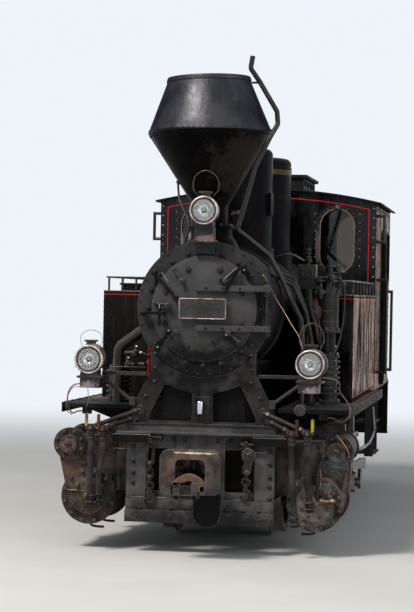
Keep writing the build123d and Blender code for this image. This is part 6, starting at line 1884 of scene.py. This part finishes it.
def coupler_details(kit):
    """The rough arch of the shackle over its legs, and the chains' eye plates and links."""
    arch = []
    for radius_x, radius_z, order in ((0.11, 0.08, range(0, 13)), (0.062, 0.026, range(12, -1, -1))):
        for k in order:
            turn = pi * k / 12
            lump = 0.004 * sin(5 * turn)
            arch.append((-0.005 + radius_x * cos(turn), 0.518 + (radius_z + lump) * sin(turn)))
    kit.plate("coupler_shackle", arch, -3.5, -3.46)
    kit.block("coupler_shackle", 0.057, 0.105, -3.5, -3.46, 0.475, 0.52)
    kit.block("coupler_shackle", -0.115, -0.067, -3.5, -3.46, 0.5, 0.52)
    kit.make("coupler_shackle", "shackle", bevel=0.006, slot="rusty_iron")
    for x, z in ((0.348, 0.75), (-0.33, 0.79)):
        kit.rod("chain_plates", (x - 0.048, -3.088, z + 0.028), (x + 0.048, -3.088, z + 0.028), 0.0105, 10)
        for px in (x - 0.054, x + 0.042):
            kit.lathe(
                "chain_plates", (px, -3.088, z + 0.028), (1, 0, 0),
                ((0.016, 0), (0.018, 0.003), (0.018, 0.009), (0.016, 0.012)), 6,
            )
    pear = [(0.352 + 0.052 * cos(radians(a)), 0.712 + 0.042 * sin(radians(a))) for a in range(-20, 201, 20)]
    pear += [(0.322, 0.66), (0.328, 0.585), (0.347, 0.56), (0.366, 0.585), (0.38, 0.66)]
    kit.plate("chain_plates", pear, -3.128, -3.116)
    kit.hoop("chain_plates", (0.345, -3.128, 0.733), REAR, 0.02, 0.008, 24)
    kit.lathe(
        "chain_plates", (0.345, -3.118, 0.585), FRONT, ((0.016, 0), (0.016, 0.018), (0.012, 0.022)), 14,
    )
    kit.make("chain_plates", "link", slot="rusty_iron")


def beam_bars(kit):
    """The bars at both ends of the beam's top, and bright lines and bits along its shelf and foot: painted
    highlights, the foot's bits also scratches.
    """
    for x0, x1 in ((-0.622, -0.352), (0.378, 0.612)):
        kit.block("beam_bars", x0, x1, -3.112, -3.066, 0.776, 0.829)
        # Painted highlights along the bars' tops.
        kit.block("beam_highlights_and_scratches", x0, x1, -3.113, -3.066, 0.829, 0.8325)
        kit.block("beam_highlights_and_scratches", x0, x0 + 0.09, -3.09, -3.066, 0.726, 0.7285)
    kit.make("beam_bars", "paint")
    # Bright bits along the foot: scratches and painted highlights.
    for x0, x1 in ((-0.49, -0.39), (-0.31, -0.235), (0.25, 0.33)):
        kit.block("beam_highlights_and_scratches", x0, x1, -3.0815, -3.0795, 0.3875, 0.392)
    kit.make("beam_highlights_and_scratches", "glint")


def tank_tops(kit):
    """The open rail racks on the tanks, the plate across the right one's front, and painted highlights
    along the tank edges.
    """
    top, rail = 1.845, 1.953
    for side in both(1):
        inner, outer = 0.604, 0.934
        low, high = sorted((inner * side, outer * side))
        kit.block("tank_rails", low - 0.008, high + 0.008, -1.904, -1.888, rail - 0.012, rail)
        for x in (low, high):
            kit.block("tank_rails", x - 0.008, x + 0.008, -1.896, 0.396, rail - 0.012, rail)
        for x in (outer - 0.012, 0.815, 0.71, inner):
            kit.block("tank_rails", x * side - 0.007, x * side + 0.007, -1.903, -1.889, top, rail - 0.006)
        steps = 7 if side > 0 else 4
        for x, count in ((outer, steps), (inner, 4)):
            for k in range(1, count + 1):
                y = -1.896 + 2.272 * k / count
                kit.block(
                    "tank_rails", x * side - 0.006, x * side + 0.006, y - 0.006, y + 0.006, top,
                    rail - 0.006,
                )
        # Painted highlights along the tanks' top front edges.
        kit.block("tank_glints", *sorted((0.578 * side, 0.952 * side)), -1.9212, -1.9195, 1.8385, 1.8455)
    kit.block("tank_rails", 0.606, 0.952, -1.907, -1.899, top, rail - 0.008)
    kit.block("tank_glints", 0.606, 0.954, -1.909, -1.897, rail - 0.008, rail + 0.001)
    kit.block("tank_glints", 0.93, 0.938, -1.86, 0.39, rail, rail + 0.002)
    rack = kit.make("tank_rails", "rail", bevel=0.001)
    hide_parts("tank_racks")
    kit.make("tank_glints", "glint")


def pump_details(kit):
    """Nuts, rings, studs and the governor of the air pump, and the disc ahead of it."""
    x, y = 0.79, -2.13
    for z, radius, count in ((1.880, 0.082, 10), (1.584, 0.084, 10), (1.400, 0.082, 8), (1.056, 0.093, 8)):
        for k in range(count):
            turn = tau * (k + 0.5) / count
            kit.nut(
                "pump_nuts", (x + radius * cos(turn), y + radius * sin(turn), z), UP, 0.0105, 0.011, True,
                turn,
            )
    head = Vector((0.638, -2.206, 2.004))
    for k in range(8):
        turn = tau * k / 8
        kit.nut(
            "pump_nuts", head + Vector((0.056 * cos(turn), 0.02, 0.056 * sin(turn))), FRONT, 0.009, 0.01,
            False, turn,
        )
    for place in ((0.58, 1.895), (0.69, 1.895), (0.58, 2.05), (0.69, 2.05)):
        kit.nut("pump_nuts", (place[0], -2.186, place[1]), FRONT, 0.0095, 0.01)
    kit.make("pump_nuts", "worn_black", slot="frame_paint")
    kit.ring(
        "pump_rings", head + Vector((0, -0.012, 0)), FRONT,
        ((0.0335, -0.008), (0.0335, 0.002), (0.04, 0.004), (0.046, 0.002), (0.046, -0.008)), 32,
    )
    band = ((0.0795, -0.006), (0.083, -0.005), (0.083, 0.005), (0.0795, 0.006))
    for z in (1.72, 1.64):
        kit.ring("pump_rings", (x, y, z), UP, band, 40)
    for z in (2.082, 2.112, 2.142, 2.168):
        kit.lathe(
            "pump_rings", (0.638, y, z), UP, ((0.014, 0), (0.022, 0.002), (0.022, 0.009), (0.013, 0.012)),
            14,
        )
    kit.lathe(
        "pump_governor", (0.7, -2.19, 1.655), UP,
        ((0.03, 0), (0.046, 0.012), (0.05, 0.05), (0.046, 0.09), (0.026, 0.112), (0.018, 0.15)), 20,
    )
    kit.lathe(
        "pump_governor", (0.7, -2.24, 1.71), FRONT,
        ((0.026, -0.03), (0.026, 0.0), (0.019, 0.004), (0.019, 0.02), (0.012, 0.024)), 14,
    )
    kit.make("pump_rings", "pump", bevel=0.0008, slot="frame_paint")
    kit.tube(
        "pump_governor",
        [
            (0.665, -2.2, 1.87), (0.668, -2.25, 1.8), (0.68, -2.27, 1.72), (0.715, -2.27, 1.62),
            (0.735, -2.25, 1.5),
        ],
        0.016,
    )
    kit.lathe(
        "pump_disc", (0.69, -3.0, 1.024), FRONT,
        ((0.03, -0.045), (0.042, -0.003), (0.042, 0.004), (0.038, 0.008)), 28,
    )
    kit.make("pump_disc", "link", slot="frame_paint")
    kit.make("pump_governor", "brown", slot="frame_paint")
    for k in range(7):
        kit.nut(
            "pump_studs", (0.862 + 0.012 * (k % 2), -2.2, 1.13 + 0.055 * k), FRONT, 0.0085, 0.01, True, k,
        )
    kit.make("pump_studs", "worn_steel", slot="frame_paint")


def pump_pipework(kit):
    """Valves with their handwheels, and the small pipes round the air pump."""
    for vx, vy, vz in ((0.815, -2.2, 1.97), (0.745, -2.235, 1.86), (0.875, -2.16, 1.925)):
        kit.lathe(
            "pump_valves", (vx, vy, vz - 0.045), UP,
            (
                (0.014, 0), (0.014, 0.02), (0.026, 0.028), (0.026, 0.06), (0.015, 0.068), (0.012, 0.1),
                (0.005, 0.102), (0.005, 0.135),
            ),
            14,
        )
        kit.rod("pump_valves", (vx - 0.045, vy, vz), (vx + 0.045, vy, vz), 0.0125, 10)
        kit.hoop("pump_valves", (vx, vy, vz + 0.085), UP, 0.031, 0.0045, 20, 6)
        for turn in (0, pi / 3, 2 * pi / 3):
            way = Vector((cos(turn), sin(turn), 0)) * 0.031
            kit.rod(
                "pump_valves", Vector((vx, vy, vz + 0.085)) - way, Vector((vx, vy, vz + 0.085)) + way,
                0.003, 6,
            )
    kit.make("pump_valves", "worn_black", slot="tap_brass")
    small = (
        [(0.77, -2.2, 1.97), (0.72, -2.22, 1.965), (0.70, -2.2, 1.93), (0.705, -2.19, 1.83)],
        [
            (0.86, -2.2, 1.97), (0.905, -2.19, 1.93), (0.915, -2.17, 1.8), (0.9, -2.16, 1.6),
            (0.87, -2.17, 1.46), (0.84, -2.2, 1.4),
        ],
        [
            (0.70, -2.265, 1.712), (0.73, -2.275, 1.66), (0.752, -2.27, 1.56), (0.735, -2.25, 1.48),
            (0.71, -2.22, 1.42), (0.7, -2.2, 1.2), (0.7, -2.2, 1.04),
        ],
        [(0.655, -2.21, 1.9), (0.66, -2.24, 1.83), (0.69, -2.26, 1.78), (0.715, -2.25, 1.7)],
        [
            (0.6, -2.35, 1.70), (0.61, -2.38, 1.62), (0.635, -2.4, 1.5), (0.63, -2.42, 1.38),
            (0.6, -2.44, 1.3),
        ],
    )
    for route in small:
        kit.tube("pump_pipes", route, 0.0065)
    kit.make("pump_pipes", "pipe", slot="pipe_steel")
    kit.tube("boiler_rod", [(0.35, -2.0, 2.11), (0.49, -2.1, 2.141), (0.604, -2.12, 2.092)], 0.0068)
    kit.lathe(
        "boiler_rod", (0.663, -2.2, 1.775), UP,
        ((0.016, 0), (0.02, 0.004), (0.02, 0.022), (0.016, 0.026)), 6,
    )
    kit.make("boiler_rod", "tan", slot="pipe_steel")


def pipe_fittings(kit):
    """The feet of the steam pipes, and the valves and unions of the left side, the unions and small bits
    painted bright as highlights.
    """
    for px, py in ((0.66, -2.64), (0.73, -2.35), (0.63, -2.5)):
        kit.lathe(
            "pipe_feet", (px, py, 1.03), UP, ((0.042, 0), (0.042, 0.008), (0.028, 0.012), (0.028, 0.02)),
            20,
        )
    kit.lathe("pipe_feet", (-0.673, -2.55, 1.03), UP, ((0.07, 0), (0.07, 0.012), (0.045, 0.016)), 28)
    kit.make("pipe_feet", "pipe", slot="pipe_steel")
    for vx, vz in ((-0.6, 1.385), (-0.66, 1.3)):
        kit.lathe(
            "left_valves", (vx, -2.42, vz - 0.03), UP,
            ((0.014, 0), (0.024, 0.01), (0.024, 0.045), (0.012, 0.055), (0.008, 0.09)), 14,
        )
        kit.rod("left_valves", (vx - 0.04, -2.42, vz), (vx + 0.05, -2.42, vz), 0.012, 10)
    kit.tube(
        "left_valves",
        [
            (-0.735, -2.35, 1.33), (-0.73, -2.38, 1.37), (-0.66, -2.42, 1.385), (-0.56, -2.42, 1.385),
            (-0.5, -2.42, 1.36),
        ],
        0.012,
    )
    kit.make("left_valves", "worn_black", slot="pipe_steel")
    # The unions are painted bright, as painted highlights.
    for px, py, pz, radius in (
        (-0.57, -2.42, 1.385, 0.015), (-0.63, -2.42, 1.385, 0.015), (-0.6, -2.43, 1.43, 0.009),
        (-0.66, -2.43, 1.345, 0.009),
    ):
        kit.lathe(
            "left_unions_and_highlights", (px, py, pz), (1, 0, 0),
            ((radius * 0.9, 0), (radius, 0.002), (radius, 0.014), (radius * 0.9, 0.016)), 6,
        )
    # Small bright bits and a bright line: painted highlights.
    for x0, x1, z in ((-0.66, -0.6, 1.308), (-0.545, -0.5, 1.308), (-0.48, -0.47, 1.32)):
        kit.block("left_unions_and_highlights", x0, x1, -2.62, -2.605, z, z + 0.014)
    kit.block("left_unions_and_highlights", -0.68, -0.44, -2.903, -2.9, 1.297, 1.2995)
    kit.make("left_unions_and_highlights", "glint", slot="bright_steel")


def motion_details(kit):
    """Caps, nuts and oil cup lids on the cranks, rods and crossheads, each riding on its own body."""
    pin_z = AXLE_Z - PIN_SHIFT
    for side, word in SIDES:
        out = (side, 0, 0)
        for index, y in enumerate(AXLES):
            pin_y = y - side * PIN_SHIFT
            wheel = "wheel_caps_%d" % (index + 1)
            kit.lathe(
                wheel, (0.5935 * side, y, AXLE_Z), out,
                ((0.075, 0), (0.075, 0.006), (0.062, 0.009), (0.03, 0.011)), 28,
            )
            for k in range(6):
                turn = tau * k / 6
                kit.nut(
                    wheel, (0.5995 * side, y + 0.052 * cos(turn), AXLE_Z + 0.052 * sin(turn)), out,
                    0.0095, 0.009, False, turn,
                )
            if index != DRIVEN_AXLE:
                place = (0.703 * side, pin_y, pin_z)
                kit.lathe(
                    wheel, place, out,
                    ((0.046, -0.001), (0.046, 0.003), (0.03, 0.005), (0.03, 0.014), (0.025, 0.017)), 24,
                )
                kit.nut(wheel, (0.718 * side, pin_y, pin_z), out, 0.017, 0.012)
            kit.lathe(
                "rod_lids_" + word, (0.655 * side, pin_y, pin_z + 0.0995), UP,
                ((0.021, 0), (0.021, 0.006), (0.012, 0.01), (0.006, 0.017)), 14,
            )
            kit.ring(
                "rod_lids_" + word, (0.6845 * side, pin_y, pin_z), out,
                ((0.056, -0.001), (0.056, 0.0022), (0.066, 0.0022), (0.066, -0.001)), 32,
            )
            if index < 3:
                kit.lathe(
                    "rod_lids_" + word, (0.6755 * side, pin_y + 0.145, pin_z), out,
                    ((0.034, 0), (0.034, 0.01), (0.02, 0.014), (0.02, 0.019)), 20,
                )
        kit.make("rod_lids_" + word, "rods", body="coupling_rod_" + word, bevel=0.0006, slot="bright_steel")
        big = Vector((CYLINDER_X * side, AXLES[DRIVEN_AXLE] - side * PIN_SHIFT, pin_z))
        kit.lathe(
            "main_lids_" + word, big + Vector((0, 0, 0.1135)), UP,
            ((0.023, 0), (0.023, 0.007), (0.014, 0.011), (0.007, 0.019)), 16,
        )
        for dy, dz in ((-0.07, 0.06), (-0.07, -0.06)):
            kit.nut("main_lids_" + word, big + Vector((0.0365 * side, dy, dz)), out, 0.0125, 0.006, False)
        kit.make("main_lids_" + word, "rods", body="main_rod_" + word, bevel=0.0006, slot="bright_steel")
        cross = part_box("crosshead_" + word)[1][1] - 0.115
        kit.lathe(
            "crosshead_caps_" + word, (0.8755 * side, cross, AXLE_Z), out,
            ((0.036, 0), (0.036, 0.003), (0.024, 0.005)), 24,
        )
        kit.nut("crosshead_caps_" + word, (0.879 * side, cross, AXLE_Z), out, 0.019, 0.009)
        for dy in (-0.095, 0.095):
            for dz in (-0.07, 0.07):
                kit.nut(
                    "crosshead_caps_" + word, (0.8655 * side, cross + dy, AXLE_Z + dz), out, 0.0105,
                    0.007, False,
                )
        kit.make(
            "crosshead_caps_" + word, "rods", body="crosshead_" + word, bevel=0.0006, slot="bright_steel",
        )
    for index in range(4):
        kit.make(
            "wheel_caps_%d" % (index + 1), "worn_black", body="wheelset_%d" % (index + 1),
            slot="frame_paint",
        )


def spring_details(kit):
    """Nuts and clamps of the leaf springs, and the pins of the valve gear."""
    for side in both(1):
        out = (side, 0, 0)
        for y in AXLES:
            for end in (-0.32, 0.32):
                kit.nut("spring_nuts", (0.567 * side, y + end, 0.7555), UP, 0.021, 0.018)
            for end in (-0.14, 0.14):
                kit.nut("spring_nuts", (0.5395 * side, y + end, 0.255), out, 0.013, 0.011)
            kit.block(
                "spring_nuts", *sorted((0.5345 * side, 0.6065 * side)), y - 0.046, y + 0.046, 0.61, 0.632,
            )
            for k in range(2):
                kit.nut("spring_nuts", (0.6055 * side, y - 0.02 + 0.04 * k, 0.665), out, 0.01, 0.008)
        for y, z in ((-1.24, 0.69), (-2.3, VALVE_Z), (-2.29, 0.3)):
            kit.lathe(
                "gear_pins", (0.9255 * side, y, z), out, ((0.022, 0), (0.022, 0.006), (0.014, 0.009)), 18,
            )
        kit.nut("gear_pins", (0.959 * side, -2.3, 0.75), out, 0.015, 0.01)
        kit.nut("gear_pins", (0.9515 * side, -1.24, 0.75), out, 0.015, 0.01)
    kit.make("spring_nuts", "frame", slot="frame_paint")
    kit.make("gear_pins", "rods", slot="bright_steel")


def cab_details(kit):
    """Inside the cab: the gauge, water glasses and the fire door."""
    kit.lathe("gauge_dials", GAUGE, REAR, ((0.068, -0.001), (0.068, 0.001)), 32)
    kit.make("gauge_dials", "dial")
    kit.ring(
        "gauge_rims", GAUGE, REAR,
        ((0.079, -0.04), (0.079, 0.004), (0.074, 0.007), (0.068, 0.004), (0.068, 0.001), (0.078, -0.04)),
        40,
    )
    for x in both(0.23):
        for z in (1.735, 1.965):
            kit.lathe(
                "gauge_rims", (x, 0.569, z), UP,
                ((0.02, -0.012), (0.024, -0.008), (0.024, 0.008), (0.02, 0.012)), 6,
            )
        for z in (1.71, 1.99):
            kit.rod("gauge_rims", (x, 0.59, z), (x, 0.64, z), 0.007)
            kit.lathe("gauge_rims", (x, 0.635, z), REAR, ((0.018, 0), (0.018, 0.008)), 10)
    kit.lathe(
        "gauge_rims", (-0.21, 0.595, 1.84), (-0.86, 0, -0.5),
        ((0.02, -0.01), (0.024, 0.03), (0.02, 0.07)), 14,
    )
    kit.make("gauge_rims", "brass", slot="tap_brass")
    for k in range(9):
        turn = radians(225 - 33.75 * k)
        tick = Vector((cos(turn), 0, sin(turn)))
        kit.rod(
            "gauge_ticks", GAUGE + tick * 0.05 + Vector((0, 0.0012, 0)),
            GAUGE + tick * 0.062 + Vector((0, 0.0012, 0)), 0.0016, 4,
        )
    kit.rod(
        "gauge_ticks", GAUGE + Vector((0.014, 0.003, -0.014)), GAUGE + Vector((-0.035, 0.003, 0.035)),
        0.0022, 4,
    )
    for k in range(10):
        turn = tau * k / 10
        kit.rivet("gauge_ticks", on_circle(0, 0.561, 1.42, 0.148, turn), REAR, 0.009, 0.006)
    kit.rod("gauge_ticks", (0.04, 0.6, 1.46), (0.11, 0.6, 1.46), 0.009)
    kit.rod("gauge_ticks", (0.04, 0.561, 1.46), (0.04, 0.604, 1.46), 0.008)
    kit.rod("gauge_ticks", (0.11, 0.561, 1.46), (0.11, 0.604, 1.46), 0.008)
    for k in range(18):
        turn = radians(-20 + 220 * k / 17)
        kit.rivet("gauge_ticks", on_circle(0, 0.535, BOILER_Z, 0.41, turn), REAR, 0.012, 0.008)
    kit.make("gauge_ticks", "worn_black")


def cab_outside(kit):
    """Bolts of the running boards, beads of windows, doorways and bunker, and the roof's ribs."""
    for side in both(1):
        out = (side, 0, 0)
        for k in range(14):
            kit.rivet("board_bolts", (1.018 * side, -2.9 + 0.24 * k, 1.0355), UP, 0.0105, 0.006)
            if k % 2:
                kit.rivet("board_bolts", (1.03 * side, -2.9 + 0.24 * k, 0.998), out, 0.0105, 0.007)
        loop = []
        for y, z, start in (
            (2.065 - 0.07, 2.42 - 0.07, 0), (1.73 + 0.07, 2.42 - 0.07, 90),
            (1.73 + 0.07, 1.95 + 0.07, 180), (2.065 - 0.07, 1.95 + 0.07, 270),
        ):
            for k in range(6):
                turn = radians(start + 18 * k)
                loop.append((CAB_WALL_X * side, y + 0.085 * cos(turn), z + 0.085 * sin(turn)))
        kit.strip("cab_beads", outward(loop, -side), 0.02, out, 0.006, True)
        edge = [(CAB_WALL_X * side, 1.008, 1.06), (CAB_WALL_X * side, 1.008, 2.31)]
        edge += [
            (CAB_WALL_X * side, 1.13 - 0.122 * cos(radians(a)), 2.31 + 0.122 * sin(radians(a)))
            for a in (18, 36, 54, 72, 90)
        ]
        edge += [
            (CAB_WALL_X * side, 1.51 + 0.122 * sin(radians(a)), 2.31 + 0.122 * cos(radians(a)))
            for a in (0, 18, 36, 54, 72)
        ]
        edge += [(CAB_WALL_X * side, 1.632, 2.31), (CAB_WALL_X * side, 1.632, 1.06)]
        kit.strip("cab_beads", outward(edge, side), 0.02, out, 0.006)
        kit.block("cab_beads", *sorted((0.862 * side, 0.872 * side)), 2.16, 2.85, 1.888, 1.902)
        for y in (0.95, 1.7):
            start, end = (asin(x / (ROOF_R + 0.014)) for x in (0.29, 0.975))
            points = []
            for k in range(9):
                place = on_roof(start + (end - start) * k / 8, y, 0.014, side)
                points.append((place[0], y, place[2] + 0.002))
            kit.tube("roof_ribs", points, 0.009, 6, 2)
    kit.block("cab_beads", -0.8, 0.8, 2.862, 2.872, 1.888, 1.902)
    kit.make("board_bolts", "worn_black", slot="board_wood")
    kit.make("cab_beads", "paint", bevel=0.001)
    kit.make("roof_ribs", "roof")


def main():
    """Builds the scene."""
    bpy.context.scene.view_settings.view_transform = "Standard"
    make_camera()
    make_world()
    lamp_light("key", SUN, 16, 3.5, 2300, (1.0, 0.96, 0.9))
    lamp_light("fill", (0.9, -0.6, 0.35), 14, 7, 420, (0.92, 0.96, 1.0))
    make_floor()
    looks = make_looks()
    dress_nodes(looks)
    kit = Kit(looks)
    for build in (
        make_cords, front_bolts, smokebox_bolts, door_bolts, lamp_details, lamp_bails, lamp_feet, lining,
        cab_rivets, tank_rivets, bunker_rivets, frame_rivets, boiler_bands, window_details,
        cylinder_details, cylinder_pipes, tap_details, chimney_details, dome_details, door_levers,
        coupler_details, beam_bars, tank_tops, pump_details, pump_pipework, pipe_fittings, motion_details,
        spring_details, cab_details, cab_outside,
    ):
        build(kit)


main()
